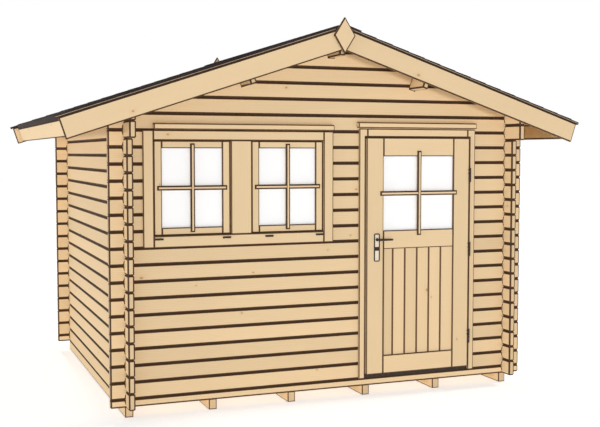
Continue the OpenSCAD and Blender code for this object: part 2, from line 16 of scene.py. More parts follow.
import bmesh
import bpy
from mathutils import Matrix, Vector

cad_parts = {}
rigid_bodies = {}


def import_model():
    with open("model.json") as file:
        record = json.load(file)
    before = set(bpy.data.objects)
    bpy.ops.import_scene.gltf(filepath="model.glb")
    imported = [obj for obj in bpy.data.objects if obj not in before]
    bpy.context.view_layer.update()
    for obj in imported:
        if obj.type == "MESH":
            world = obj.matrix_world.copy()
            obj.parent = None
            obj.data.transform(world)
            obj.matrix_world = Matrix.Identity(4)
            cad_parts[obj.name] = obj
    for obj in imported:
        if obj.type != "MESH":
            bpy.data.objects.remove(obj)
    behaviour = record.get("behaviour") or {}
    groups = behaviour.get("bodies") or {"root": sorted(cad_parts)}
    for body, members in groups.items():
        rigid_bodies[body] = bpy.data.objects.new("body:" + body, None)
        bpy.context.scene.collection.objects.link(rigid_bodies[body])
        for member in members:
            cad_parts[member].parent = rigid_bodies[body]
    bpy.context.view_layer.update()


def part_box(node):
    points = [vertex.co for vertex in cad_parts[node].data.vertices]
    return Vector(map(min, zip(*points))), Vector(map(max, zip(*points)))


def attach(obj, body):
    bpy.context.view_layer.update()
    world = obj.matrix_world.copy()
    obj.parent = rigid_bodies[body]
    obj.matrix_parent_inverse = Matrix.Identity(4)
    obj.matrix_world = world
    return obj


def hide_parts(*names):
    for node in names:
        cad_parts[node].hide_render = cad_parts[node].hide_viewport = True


LOG = logging.getLogger("garden_house")

Material = bpy.types.Material
Socket = bpy.types.NodeSocket
Vert = bmesh.types.BMVert
Edge = bmesh.types.BMEdge
Face = bmesh.types.BMFace
Box = tuple[Vector, Vector]
Span = tuple[float, float]
Triple = tuple[float, float, float]
Value = Union[float, Socket]
Inputs = dict[Union[str, int], object]

WHITE = (1.0, 1.0, 1.0, 1.0)
WELD = 1e-5  # corners of a frame node closer than this are one corner
SQUARE = 0.9  # a face is square to an axis if more than this of its normal lies along it
STRAIGHT = 0.99  # a log is cut off straight if more than this of its end's normal lies along it
SHARP = math.radians(30)  # an edge that bends more than this is an arris
PANE_GROOVE = 0.0077  # how far a pane reaches into the wood round it
GOLDEN = 0.61803398875
SEED_SPAN = 40.0  # the seeds of all timbers lie between 0 and this


class Way(Enum):
    """One of two opposite ways, whose value is its sign along an axis."""

    @property
    def word(self) -> str:
        """Its name as it stands in node names."""
        return self.name.lower()


class Side(Way):
    """The two sides of the house, seen from the front, along X."""

    LEFT = -1
    RIGHT = 1


class End(Way):
    """The two gable ends of the house, and the two faces of its door, along Y."""

    FRONT = -1
    REAR = 1


class Body(Enum):
    """The bodies that pieces ride on."""

    HOUSE = "house"
    DOOR = "door"
    LEVER = "lever"


class Slot(Enum):
    """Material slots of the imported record."""

    SPRUCE = "spruce"
    JOINERY = "joinery"
    ROOF = "roof_covering"
    GLASS = "glass"
    DARK_METAL = "dark_metal"
    PLATE_METAL = "plate_metal"


class Count(Enum):
    """Where the timbers or tabs of each group start to count, and the step from one piece to the next.

    The number of a timber decides its grain, and that of a tab its shade.
    """

    BEARERS = (3, 1)
    FLOOR = (11, 1)
    LEVEL_LOGS = (40, 23)
    SIDE_LOGS = (300, 19)
    RIDGE_PURLIN = (401, 1)
    PURLINS = (402, 1)
    ROOF_BOARDS = (500, 50)
    BARGES = (626, 1)
    FASCIAS = (650, 1)
    FINIALS = (660, 1)
    WINDOW_FRAME = (700, 1)
    SASHES = (720, 9)
    SASH_BARS = (740, 5)
    WINDOW_DRIP = (760, 1)
    DOOR_FRAME = (800, 1)
    DOOR_DRIP = (810, 1)
    DOOR_LEAF = (820, 1)
    DOOR_PANEL = (840, 1)
    DOOR_BARS = (860, 1)
    SHINGLES = (0, 1)
    RIDGE_CAPS = (900, 1)
    UNDERLAY = (980, 1)

    def at(self, step: int = 0) -> int:
        """Number that one piece of the group starts to count from."""
        return self.value[0] + self.value[1] * step


def lie(along: Sequence[float], across: Sequence[float], origin: Sequence[float] = (0, 0, 0)) -> Matrix:
    """Works out the place of a timber whose grain and width point in the given directions.

    Args:
        along: Direction of the grain, the timber's own X.
        across: Direction of the width, the timber's own Y.
        origin: Where the timber's own origin lies.

    Returns:
        The matrix that takes the timber from its own axes to the house's.
    """
    x = Vector(along).normalized()
    y = Vector(across).normalized()
    z = x.cross(y)
    rows = [[x[i], y[i], z[i], origin[i]] for i in range(3)]
    return Matrix([*rows, [0, 0, 0, 1]])


LEVEL = lie((1, 0, 0), (0, 0, 1))  # a level timber in the front or rear wall
UPRIGHT = lie((0, 0, 1), (1, 0, 0))  # an upright timber in the front or rear wall
SIDEWAYS = lie((0, 1, 0), (0, 0, 1))  # a level timber on edge that runs from front to rear
BEARER = lie((0, 1, 0), (1, 0, 0))  # a level timber that lies flat and runs from front to rear
FLAT = lie((1, 0, 0), (0, 1, 0))  # a floor board laid from side to side


@dataclass(frozen=True)
class Rect:
    """An upright rectangle on a wall, from x0 to x1 and from z0 to z1."""

    x0: float
    x1: float
    z0: float
    z1: float

    @classmethod
    def seen(cls, low: Vector, high: Vector) -> Rect:
        """The rectangle that a box shows from the front."""
        return cls(low.x, high.x, low.z, high.z)

    def grown(self, by: float) -> Rect:
        """The same rectangle with every side moved outwards."""
        return Rect(self.x0 - by, self.x1 + by, self.z0 - by, self.z1 + by)


def rect_of(node: str) -> Rect:
    """The rectangle that a frame node shows from the front."""
    return Rect.seen(*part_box(node))


def light_of(glass: str) -> Rect:
    """The part of a pane that shows between the stiles and rails round it."""
    return rect_of(glass).grown(-PANE_GROOVE)


def dimmed(colour: Triple, share: float) -> Triple:
    """A colour with each of its parts multiplied."""
    return tuple(part * share for part in colour)


class Graph:
    """The node tree of a material or of the world, built with short calls."""

    def __init__(self, owner: Union[Material, bpy.types.World]) -> None:
        """Starts an empty tree.

        Args:
            owner: The material or the world that the tree belongs to.
        """
        owner.use_nodes = True
        self._owner = owner
        self._tree = owner.node_tree
        self._tree.nodes.clear()

    def node(self, kind: str, inputs: Inputs, **settings: object) -> bpy.types.Node:
        """Adds a node.

        Args:
            kind: Blender's name of the node type.
            inputs: What each input holds, by name or number: a value, or a socket to link.
            **settings: Properties of the node.

        Returns:
            The new node.
        """
        made = self._tree.nodes.new(kind)
        for key, value in settings.items():
            setattr(made, key, value)
        for key, value in inputs.items():
            if isinstance(value, bpy.types.NodeSocket):
                self._tree.links.new(value, made.inputs[key])
            else:
                made.inputs[key].default_value = value
        return made

    def math(self, operation: str, a: Value, b: Value = 0.0) -> Socket:
        """The result of one operation on two numbers."""
        return self.node("ShaderNodeMath", {0: a, 1: b}, operation=operation).outputs[0]

    def times(self, a: Value, b: Value) -> Socket:
        """The product of two numbers."""
        return self.math("MULTIPLY", a, b)

    def plus(self, a: Value, b: Value, clamp: bool = False) -> Socket:
        """The sum of two numbers, which may be kept between 0 and 1."""
        return self.node("ShaderNodeMath", {0: a, 1: b}, operation="ADD", use_clamp=clamp).outputs[0]

    def vector(self, operation: str, a: object, b: object) -> Socket:
        """The vector that one operation on two vectors gives."""
        return self.node("ShaderNodeVectorMath", {0: a, 1: b}, operation=operation).outputs[0]

    def stretch(self, a: Socket, by: Triple) -> Socket:
        """A vector with its three parts multiplied, which makes a pattern on it finer."""
        return self.vector("MULTIPLY", a, by)

    def length(self, a: Socket) -> Socket:
        """The length of a vector."""
        return self.node("ShaderNodeVectorMath", {0: a}, operation="LENGTH").outputs["Value"]

    def split(self, a: Socket) -> Sequence[Socket]:
        """The three parts of a vector."""
        return self.node("ShaderNodeSeparateXYZ", {0: a}).outputs[:3]

    def join(self, x: Value, y: Value, z: Value) -> Socket:
        """A vector made of three numbers."""
        return self.node("ShaderNodeCombineXYZ", {0: x, 1: y, 2: z}).outputs[0]

    def step(self, value: Socket, low: float, high: float) -> Socket:
        """A smooth rise from 0 at low to 1 at high, which may also run downwards."""
        inputs = {"Value": value, "From Min": low, "From Max": high}
        return self.node("ShaderNodeMapRange", inputs, interpolation_type="SMOOTHSTEP").outputs[0]

    def spread(self, value: Socket, low: float, high: float) -> Socket:
        """A number from 0 to 1 spread from low to high."""
        return self.node("ShaderNodeMapRange", {"Value": value, "To Min": low, "To Max": high}).outputs[0]

    def mix(self, factor: Value, a: object, b: object, blend: str = "MIX") -> Socket:
        """Mixes two colours.

        Args:
            factor: 0 for the first colour and 1 for the second.
            a: The first colour, or its socket.
            b: The second colour, or its socket.
            blend: Blender's name of the blend mode.

        Returns:
            The mixed colour.
        """
        ends = [colour if isinstance(colour, bpy.types.NodeSocket) else (*colour, 1.0) for colour in (a, b)]
        inputs = {0: factor, 6: ends[0], 7: ends[1]}
        return self.node("ShaderNodeMix", inputs, data_type="RGBA", blend_type=blend).outputs[2]

    def noise(self, place: Socket, scale: float = 1.0, detail: float = 2.0, roughness: float = 0.5) -> Socket:
        """A cloudy pattern from 0 to 1."""
        inputs = {"Vector": place, "Scale": scale, "Detail": detail, "Roughness": roughness}
        return self.node("ShaderNodeTexNoise", inputs).outputs[0]

    def random(self, seed: Value) -> Socket:
        """A random number from 0 to 1 that belongs to a seed."""
        return self.node("ShaderNodeTexWhiteNoise", {"W": seed}, noise_dimensions="1D").outputs["Value"]

    def place(self) -> Socket:
        """Where a point lies on its piece."""
        return self.node("ShaderNodeTexCoord", {}).outputs["Object"]

    def read(self, name: str, output: str = "Fac") -> Socket:
        """An attribute that the mesh notes of itself."""
        return self.node("ShaderNodeAttribute", {}, attribute_name=name).outputs[output]

    def bump(self, height: Socket, depth: float, strength: float) -> Socket:
        """The normal of a surface raised by height times depth, in metres."""
        inputs = {"Height": height, "Distance": depth, "Strength": strength}
        return self.node("ShaderNodeBump", inputs).outputs[0]

    def surface(self, inputs: Inputs) -> Material:
        """The finished material, with one Principled shader that holds these inputs."""
        self.end("ShaderNodeOutputMaterial", self.node("ShaderNodeBsdfPrincipled", inputs))
        return self._owner

    def end(self, kind: str, shader: bpy.types.Node) -> None:
        """Links a shader to an output node."""
        self.node(kind, {"Surface": shader.outputs[0]})


@dataclass(frozen=True)
class Coat:
    """A material, and the slot of the record that it belongs to."""

    material: Material
    slot: Slot


@dataclass(frozen=True)
class Finish:
    """How a surface looks, which can be made into a material."""

    name: str

    def coat(self, slot: Slot) -> Coat:
        """Makes the finish into a material that belongs to a slot."""
        g = Graph(bpy.data.materials.new(self.name))
        return Coat(g.surface(self.inputs(g)), slot)

    def inputs(self, g: Graph) -> Inputs:
        """What the material's shader holds, by the names of its inputs."""
        raise NotImplementedError


@dataclass(frozen=True)
class Spruce(Finish):
    """Planed spruce: growth rings, fibres, knots, end grain, and painted shade that draws dark lines on the
    arrises.

    It reads what each timber's mesh notes of itself: where its grain runs, its number, and which
    faces are end grain or take the painted shade. A pitch says how fast a pattern changes along the grain and
    across it.
    """

    pale: Triple = (0.787, 0.592, 0.358)
    late: Triple = (0.700, 0.470, 0.245)
    knot: Triple = (0.430, 0.235, 0.105)
    # Colour of the painted shade: dark lines on chamfers, groove sides, rebates and face rims, in place of
    # the shade in joints and along edges.
    arris: Triple = (0.048, 0.019, 0.008)
    ring_gap: float = 0.011
    ring_depth: float = 0.34
    ring_edge: float = 2.2
    slow_pitch: Triple = (0.75, 7.0, 7.0)
    slow_bend: float = 7.0
    fine_pitch: Triple = (2.5, 40.0, 40.0)
    fine_bend: float = 0.7
    knot_bend: float = 1.6
    lean: float = 0.6
    fibre_pitch: Triple = (9.0, 420.0, 420.0)
    fibre_depth: float = 0.34
    cloud_pitch: Triple = (1.4, 9.0, 9.0)
    cloud_depth: float = 0.035
    end_gap: float = 0.0042
    end_share: Span = (0.15, 0.55)
    end_dim: Span = (0.90, 0.86)
    pith_reach: float = 0.03
    knot_pitch: Triple = (0.62, 0.15, 1.0)
    knot_scatter: float = 0.85
    knot_r: Span = (0.004, 0.010)
    knot_squeeze: float = 0.72
    knot_share: float = 0.17
    knot_edge: Span = (1.15, 0.75)
    halo_edge: Span = (4.5, 0.8)
    halo_depth: float = 0.35
    knot_depth: float = 0.7
    end_depth: float = 0.9
    arris_depth: float = 0.96
    tone: float = 0.045
    shift: Span = (7.31, 3.17)
    roughness: Span = (0.52, 0.74)
    ring_rise: float = -0.5
    specular: float = 0.10

    def inputs(self, g: Graph) -> Inputs:
        """Works out the wood's colour, roughness and relief.

        Args:
            g: The graph of the material.

        Returns:
            The shader's inputs.
        """
        seed = g.read("seed")
        place = g.read("grain", "Vector")
        shift = g.join(g.times(seed, self.shift[0]), g.times(seed, self.shift[1]), seed)
        own = g.vector("ADD", place, shift)
        knot, halo = self._knots(g, own)
        rings = self._rings(g, own, halo)
        fibres = g.noise(g.stretch(own, self.fibre_pitch), detail=3.0, roughness=0.6)
        clouds = g.noise(g.stretch(own, self.cloud_pitch))
        fibre_tone = g.times(g.math("SUBTRACT", fibres, 0.5), self.fibre_depth)
        wood = g.mix(g.plus(g.times(rings, self.ring_depth), fibre_tone, True), self.pale, self.late)
        wood = g.mix(g.times(halo, self.halo_depth), wood, self.late)
        wood = g.mix(g.times(g.read("end_grain"), self.end_depth), wood, self._end_grain(g, place, seed))
        own_tone = g.spread(g.random(g.plus(seed, 0.0)), 1.0 - self.tone, 1.0 + self.tone)
        tone = g.plus(own_tone, g.spread(clouds, -self.cloud_depth, self.cloud_depth))
        wood = g.mix(1.0, wood, g.join(tone, tone, tone), "MULTIPLY")
        wood = g.mix(g.times(knot, self.knot_depth), wood, self.knot)
        # painted shade: the faces noted for it turn nearly to the dark colour
        wood = g.mix(g.times(g.read("arris"), self.arris_depth), wood, self.arris)
        return {
            "Base Color": wood,
            "Roughness": g.spread(fibres, *self.roughness),
            "Specular IOR Level": self.specular,
            "Normal": g.bump(g.plus(g.times(rings, self.ring_rise), fibres), depth=0.0006, strength=0.5),
        }

    def _knots(self, g: Graph, own: Socket) -> tuple[Socket, Socket]:
        """Scatters knots over a timber.

        Args:
            g: The graph of the material.
            own: Place on the timber.

        Returns:
            Where the knots lie, and the halo of bent grain round them.
        """
        cells = g.vector("DIVIDE", own, self.knot_pitch)
        inputs = {"Vector": cells, "Scale": 1.0, "Randomness": self.knot_scatter}
        found = g.node("ShaderNodeTexVoronoi", inputs, voronoi_dimensions="2D")
        x, y, _ = g.split(g.stretch(g.vector("SUBTRACT", cells, found.outputs["Position"]), self.knot_pitch))
        away = g.length(g.join(g.times(x, self.knot_squeeze), y, 0.0))
        red, green, _ = g.split(found.outputs["Color"])
        near = g.math("DIVIDE", away, g.spread(red, *self.knot_r))
        there = g.math("LESS_THAN", green, self.knot_share)
        return g.times(g.step(near, *self.knot_edge), there), g.times(g.step(near, *self.halo_edge), there)

    def _rings(self, g: Graph, own: Socket, halo: Socket) -> Socket:
        """Draws lines of late wood along the grain, bent round the knots.

        Args:
            g: The graph of the material.
            own: Place on the timber.
            halo: Where the grain bends round a knot.

        Returns:
            How much late wood there is, from 0 to 1.
        """
        _, y, z = g.split(own)
        slow = g.noise(g.stretch(own, self.slow_pitch), roughness=0.45)
        fine = g.noise(g.stretch(own, self.fine_pitch))
        count = g.math("DIVIDE", g.plus(y, g.times(z, self.lean)), self.ring_gap)
        bent = g.plus(g.times(slow, self.slow_bend), g.times(fine, self.fine_bend))
        bent = g.plus(bent, g.times(halo, self.knot_bend))
        wave = g.math("SINE", g.times(g.plus(count, bent), math.tau))
        return g.math("POWER", g.spread(g.times(g.plus(wave, 1.0), 0.5), 0.0, 1.0), self.ring_edge)

    def _end_grain(self, g: Graph, place: Socket, seed: Socket) -> Socket:
        """Draws growth rings round a pith, as they show on a sawn end.

        Args:
            g: The graph of the material.
            place: Place on the timber, from its own middle.
            seed: The timber's own number.

        Returns:
            The colour of the end.
        """
        aside = g.spread(g.random(g.plus(seed, 0.3)), -self.pith_reach, self.pith_reach)
        off = g.vector("SUBTRACT", place, g.join(0.0, aside, -self.pith_reach))
        away = g.length(g.stretch(off, (0.0, 1.0, 1.0)))
        share = g.spread(g.math("SINE", g.times(away, math.tau / self.end_gap)), *self.end_share)
        return g.mix(share, dimmed(self.pale, self.end_dim[0]), dimmed(self.late, self.end_dim[1]))


@dataclass(frozen=True)
class Bitumen(Finish):
    """Mineral-faced bitumen in dark brown, each shingle a little different."""

    dark: Triple = (0.006, 0.004, 0.004)
    light: Triple = (0.062, 0.043, 0.038)
    granule: float = 0.0022
    speck_share: float = 0.36
    tab_share: float = 0.40
    wear_pitch: Triple = (5.0, 0.9, 5.0)
    wear: Span = (-0.35, 0.6)

    def inputs(self, g: Graph) -> Inputs:
        """Works out the colour and relief of the granules.

        Args:
            g: The graph of the material.

        Returns:
            The shader's inputs.
        """
        place = g.place()
        grit = g.node("ShaderNodeTexVoronoi", {"Vector": place, "Scale": 1.0 / self.granule})
        speck, _, _ = g.split(grit.outputs["Color"])
        own = g.random(g.read("seed"))
        worn = g.noise(g.stretch(place, self.wear_pitch), detail=3.0)
        share = g.plus(g.times(speck, self.speck_share), g.times(own, self.tab_share))
        share = g.plus(share, g.spread(worn, *self.wear), True)
        return {
            "Base Color": g.mix(share, self.dark, self.light),
            "Roughness": 0.93,
            "Specular IOR Level": 0.2,
            "Normal": g.bump(grit.outputs["Distance"], depth=0.0012, strength=0.7),
        }


@dataclass(frozen=True)
class SatinGlass(Finish):
    """White satin glass that lets a little of the room through, with a faint painted glow that makes it look
    lit by daylight.
    """

    colour: Triple = (0.99, 0.99, 0.99)
    mist: float = 0.96
    roughness: Span = (0.10, 0.18)
    alpha: float = 0.95
    # Strength of a painted glow, which brightens the panes though they are no lamp.
    glow: float = 0.06

    def inputs(self, g: Graph) -> Inputs:
        """Works out the glass's mist and ripple.

        Args:
            g: The graph of the material.

        Returns:
            The shader's inputs.
        """
        place = g.place()
        mist = g.noise(place, scale=3.0)
        ripple = g.noise(place, scale=14.0, detail=1.0)
        return {
            "Base Color": g.mix(mist, dimmed(self.colour, self.mist), self.colour),
            "Roughness": g.spread(mist, *self.roughness),
            # painted glow: the panes shine a little as if lit
            "Emission Color": WHITE,
            "Emission Strength": self.glow,
            "Alpha": self.alpha,
            "IOR": 1.5,
            "Specular IOR Level": 0.5,
            "Normal": g.bump(ripple, depth=0.0008, strength=0.15),
        }


@dataclass(frozen=True)
class Metal(Finish):
    """Metal of one colour with fine scratches and a little wear."""

    colour: Triple
    worn: Triple
    metallic: float
    roughness: float
    brush: Triple = (60.0, 60.0, 900.0)
    brush_swing: Span = (-0.08, 0.12)
    wear_edge: Span = (0.52, 0.72)
    wear_depth: float = 0.6

    def inputs(self, g: Graph) -> Inputs:
        """Works out the metal's scratches and wear.

        Args:
            g: The graph of the material.

        Returns:
            The shader's inputs.
        """
        place = g.place()
        scratch = g.noise(g.stretch(place, self.brush), roughness=0.6)
        wear = g.step(g.noise(place, scale=55.0, detail=4.0, roughness=0.65), *self.wear_edge)
        rough = [self.roughness + swing for swing in self.brush_swing]
        return {
            "Base Color": g.mix(g.times(wear, self.wear_depth), self.colour, self.worn),
            "Metallic": self.metallic,
            "Roughness": g.spread(scratch, *rough),
            "Normal": g.bump(scratch, depth=0.0002, strength=0.4),
        }


@dataclass(frozen=True)
class Finishes:
    """What every piece of the house is coated with."""

    logs: Coat
    planks: Coat
    trim: Coat
    joinery: Coat
    panel: Coat
    bitumen: Coat
    underlay: Coat
    glass: Coat
    dark_metal: Coat
    plate_metal: Coat
    key_slot: Coat

    @classmethod
    def make(cls) -> Finishes:
        """Makes the materials once, for all the sub-assemblies.

        Returns:
            The finishes.
        """
        # joinery and panel spruce have paler painted edge shade, the dark lines in place of shade at edges
        # and joints
        joinery = Spruce("joinery_spruce", (0.775, 0.585, 0.355), arris=(0.095, 0.045, 0.022),
                         ring_depth=0.26, knot_share=0.16, tone=0.03)
        trim = Spruce("trim_spruce", (0.765, 0.575, 0.350), ring_depth=0.26, knot_share=0.16, tone=0.03)
        panel = Spruce("panel_spruce", (0.775, 0.582, 0.350), arris=(0.15, 0.075, 0.038), ring_depth=0.30,
                       knot_share=0.25, tone=0.04).coat(Slot.JOINERY)
        underlay = Bitumen("underlay_felt", (0.30, 0.22, 0.14), (0.52, 0.39, 0.26), 0.004)
        dark = Metal("dark_bronze", (0.024, 0.014, 0.009), (0.10, 0.062, 0.040), 0.45, 0.45)
        brass = Metal("pale_brass", (0.80, 0.70, 0.53), (0.62, 0.51, 0.35), 0.05, 0.55)
        # near-black metal whose colour is painted shade, standing for the dark inside of a keyhole
        key_slot = Metal("key_slot", (0.012, 0.010, 0.009), (0.03, 0.03, 0.03), 0.3, 0.6)
        return cls(
            logs=Spruce("log_spruce").coat(Slot.SPRUCE),
            planks=Coat(panel.material, Slot.SPRUCE),
            trim=trim.coat(Slot.JOINERY),
            joinery=joinery.coat(Slot.JOINERY),
            panel=panel,
            bitumen=Bitumen("brown_bitumen").coat(Slot.ROOF),
            underlay=underlay.coat(Slot.ROOF),
            glass=SatinGlass("satin_glass").coat(Slot.GLASS),
            dark_metal=dark.coat(Slot.DARK_METAL),
            plate_metal=brass.coat(Slot.PLATE_METAL),
            key_slot=key_slot.coat(Slot.DARK_METAL),
        )


def faces_of(verts: Iterable[Vert]) -> set[Face]:
    """The faces that meet at some corners."""
    return {face for vert in verts for face in vert.link_faces}


def edges_of(items: Iterable[Union[Vert, Face]]) -> set[Edge]:
    """The edges that meet at some corners, or that bound some faces."""
    return {edge for item in items for edge in (item.link_edges if isinstance(item, Vert) else item.edges)}


def parts_of(bm: bmesh.types.BMesh) -> list[list[Vert]]:
    """Sorts the corners of a mesh by the loose solid that they belong to.

    Args:
        bm: The mesh.

    Returns:
        One list of corners for each solid.
    """
    seen: set[Vert] = set()
    parts = []
    for start in bm.verts:
        if start in seen:
            continue
        seen.add(start)
        part = [start]
        for vert in part:
            near = [edge.other_vert(vert) for edge in vert.link_edges]
            fresh = [other for other in near if other not in seen]
            seen.update(fresh)
            part.extend(fresh)
        parts.append(part)
    return parts


def loose_boxes(node: str) -> list[Box]:
    """Finds the box of each loose solid of a frame node.

    Args:
        node: The frame node.

    Returns:
        The low and high corners of each solid, from left to right and from the bottom up.
    """
    bm = bmesh.new()
    bm.from_mesh(bpy.data.objects[node].data)
    bmesh.ops.remove_doubles(bm, verts=bm.verts, dist=WELD)
    boxes = []
    for part in parts_of(bm):
        axes = list(zip(*(vert.co for vert in part)))
        boxes.append((Vector([min(axis) for axis in axes]), Vector([max(axis) for axis in axes])))
    bm.free()
    return sorted(boxes, key=lambda box: (round(box[0].x, 4), round(box[0].z, 4)))


def dress(node: str, coat: Coat) -> None:
    """Gives a frame node that keeps its own mesh a better material."""
    bpy.data.objects[node].data.materials.clear()
    bpy.data.objects[node].data.materials.append(coat.material)


class Shape:
    """A mesh under work, which ends as one piece that rides on a body."""

    def __init__(self) -> None:
        """Starts an empty mesh."""
        self.bm = bmesh.new()

    def cube(self, size: Sequence[float], middle: Sequence[float] = (0, 0, 0)) -> list[Vert]:
        """Adds a plain block.

        Args:
            size: Its size along X, Y and Z.
            middle: Its middle.

        Returns:
            Its corners.
        """
        made = bmesh.ops.create_cube(self.bm, size=1.0)["verts"]
        bmesh.ops.scale(self.bm, vec=size, verts=made)
        bmesh.ops.translate(self.bm, vec=middle, verts=made)
        return made

    def bevel(self, edges: Iterable[Edge], offset: float, segments: int = 1, clamp: bool = True) -> set[Face]:
        """Bevels some edges.

        Args:
            edges: The edges.
            offset: How far the bevel runs in from each.
            segments: Steps of the bevel.
            clamp: Whether it stops where bevels meet.

        Returns:
            The bevel's own faces.
        """
        made = bmesh.ops.bevel(self.bm, geom=list(edges), offset=offset, offset_type="OFFSET", profile=0.5,
                               segments=segments, affect="EDGES", material=-1, clamp_overlap=clamp)
        return set(made["faces"])

    def piece(self, name: str, coat: Coat, *replaces: str, body: Body = Body.HOUSE) -> None:
        """Turns the mesh into a piece of the house.

        Args:
            name: The piece's name.
            coat: What it is coated with.
            *replaces: The frame nodes that it stands for.
            body: The body that it rides on.
        """
        mesh = bpy.data.meshes.new(name)
        self.bm.to_mesh(mesh)
        self.bm.free()
        if "custom_normal" in mesh.attributes:
            mesh.attributes.remove(mesh.attributes["custom_normal"])
        mesh.materials.append(coat.material)
        obj = bpy.data.objects.new(name, mesh)
        bpy.context.scene.collection.objects.link(obj)
        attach(obj, body.value)
        if replaces:
            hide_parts(*replaces)
        LOG.info("%s: %d faces on %s", name, len(mesh.polygons), body.value)


class TimberShape(Shape):
    """A mesh of timbers, each of which notes where its own grain runs.

    Each timber is cut along its own axes, with its grain along X and its width along Y. Then it is
    edged and noted and laid in its place.
    """

    def __init__(self, number: int, chamfer: float, line: float = 0.0) -> None:
        """Starts an empty mesh.

        Args:
            number: Number that its timbers count from.
            chamfer: How far the chamfers run in from each arris.
            line: Width of the painted shade along the rims of the timbers' faces, or 0 for none.
        """
        super().__init__()
        self._number = number
        self._chamfer = chamfer
        self._line = line
        self._done: set[Face] = set()
        self._grain = self.bm.verts.layers.float_vector.new("grain")
        self._seed = self.bm.faces.layers.float.new("seed")
        self._end = self.bm.faces.layers.float.new("end_grain")
        self._arris = self.bm.faces.layers.float.new("arris")

    def _note(self, verts: Iterable[Vert], dark: set[Face]) -> None:
        """Notes the grain of one timber, while it lies along its own axes.

        Args:
            verts: The timber's corners.
            dark: Faces that take the painted edge shade.
        """
        self._number += 1
        seed = (self._number * GOLDEN) % 1.0 * SEED_SPAN
        for vert in verts:
            vert[self._grain] = vert.co
        for face in faces_of(verts):
            face.normal_update()
            face.smooth = False
            face[self._seed] = seed
            face[self._end] = float(abs(face.normal.x) > SQUARE)
            # the faces in dark take the painted edge shade
            face[self._arris] = float(face in dark)

    def _edging(self, faces: Iterable[Face]) -> set[Face]:
        """Lays a rim of painted shade, a dark line, along the rims of some flat faces.

        Args:
            faces: The faces.

        Returns:
            The edging's own faces.
        """
        if not self._line:
            return set()
        made = bmesh.ops.inset_individual(self.bm, faces=list(faces), thickness=self._line, depth=0.0,
                                          use_even_offset=True)
        return set(made["faces"])

    def _lay(self, dark: set[Face], place: Matrix) -> None:
        """Edges and notes the timber that was cut last, and lays it in its place.

        Args:
            dark: Its faces that take the painted edge shade.
            place: Where it goes.
        """
        dark |= self._edging(set(self.bm.faces) - self._done - dark)
        fresh = set(self.bm.faces) - self._done
        verts = list({vert for face in fresh for vert in face.verts})
        self._note(verts, dark)
        bmesh.ops.transform(self.bm, matrix=place, verts=verts)
        self._done |= fresh

    def board(self, size: Sequence[float], place: Matrix) -> None:
        """Adds a board with chamfered arrises, which has a size along the grain and a place of its middle."""
        self._lay(self.bevel(edges_of(self.cube(size)), self._chamfer), place)

    def plank(self, low: Sequence[float], high: Sequence[float], axes: Matrix) -> None:
        """Adds a board that fills a box and lies the way that axes says, such as LEVEL or UPRIGHT."""
        size = axes.to_3x3().transposed() @ (Vector(high) - Vector(low))
        self.board([abs(part) for part in size], Matrix.Translation((Vector(high) + Vector(low)) / 2) @ axes)

    def bar(self, middle: Sequence[float], size: Sequence[float], axes: Matrix) -> None:
        """Adds a glazing bar with wide chamfers round its face, which looks towards -Y.

        Args:
            middle: Middle of the bar's rear face.
            size: Its length, its width and its thickness.
            axes: How the bar lies.
        """
        turn = axes.to_3x3()
        front = min(faces_of(self.cube(size)), key=lambda face: (turn @ face.calc_center_median()).y)
        dark = self.bevel(front.edges, self._chamfer, clamp=False)
        self._lay(dark, Matrix.Translation(Vector(middle) - Vector((0, size[2] / 2, 0))) @ axes)

    def ring(self, outer: Rect, inner: Rect, y0: float, y1: float, closed: bool = True) -> None:
        """Adds two posts beside an opening, with rails between them.

        Args:
            outer: The outer rectangle of this frame.
            inner: The opening in it.
            y0: Its front face.
            y1: Its rear face.
            closed: Whether it has a bottom rail.
        """
        for x0, x1 in ((outer.x0, inner.x0), (inner.x1, outer.x1)):
            self.plank((x0, y0, outer.z0), (x1, y1, outer.z1), UPRIGHT)
        self.plank((inner.x0, y0, inner.z1), (inner.x1, y1, outer.z1), LEVEL)
        if closed:
            self.plank((inner.x0, y0, outer.z0), (inner.x1, y1, inner.z0), LEVEL)

    def cut_out(self, corners: Sequence[tuple[float, float]], y0: float, y1: float, axes: Matrix) -> None:
        """Adds a board sawn to an outline, with chamfered arrises.

        Args:
            corners: The outline's corners on the wall, each as x and z.
            y0: The board's front face.
            y1: Its rear face.
            axes: How the board lies.
        """
        front = [self.bm.verts.new((x, y0, z)) for x, z in corners]
        face = self.bm.faces.new(front)
        grown = bmesh.ops.extrude_face_region(self.bm, geom=[face], use_keep_orig=True)["geom"]
        rear = [item for item in grown if isinstance(item, Vert)]
        bmesh.ops.translate(self.bm, vec=(0, y1 - y0, 0), verts=rear)
        bmesh.ops.recalc_face_normals(self.bm, faces=list(set(self.bm.faces) - self._done))
        bmesh.ops.transform(self.bm, matrix=axes.inverted(), verts=front + rear)
        convex = [edge for edge in edges_of(front + rear) if edge.is_convex]
        self._lay(self.bevel(convex, self._chamfer), axes)

    def darken(self, opening: Rect) -> None:
        """Notes the faces that line an opening for the painted edge shade, which draws them dark as the shade
        in the rebate.

        Args:
            opening: The opening that the faces look into.
        """
        self.bm.normal_update()
        for face in self.bm.faces:
            x, _, z = face.calc_center_median()
            left = abs(x - opening.x0) < WELD and face.normal.x > SQUARE
            right = abs(x - opening.x1) < WELD and face.normal.x < -SQUARE
            foot = abs(z - opening.z0) < WELD and face.normal.z > SQUARE
            head = abs(z - opening.z1) < WELD and face.normal.z < -SQUARE
            beside = opening.z0 < z < opening.z1 and (left or right)
            between = opening.x0 < x < opening.x1 and (foot or head)
            if beside or between:
                # the rebate round the opening takes painted shade, as if in its shadow
                face[self._arris] = 1.0

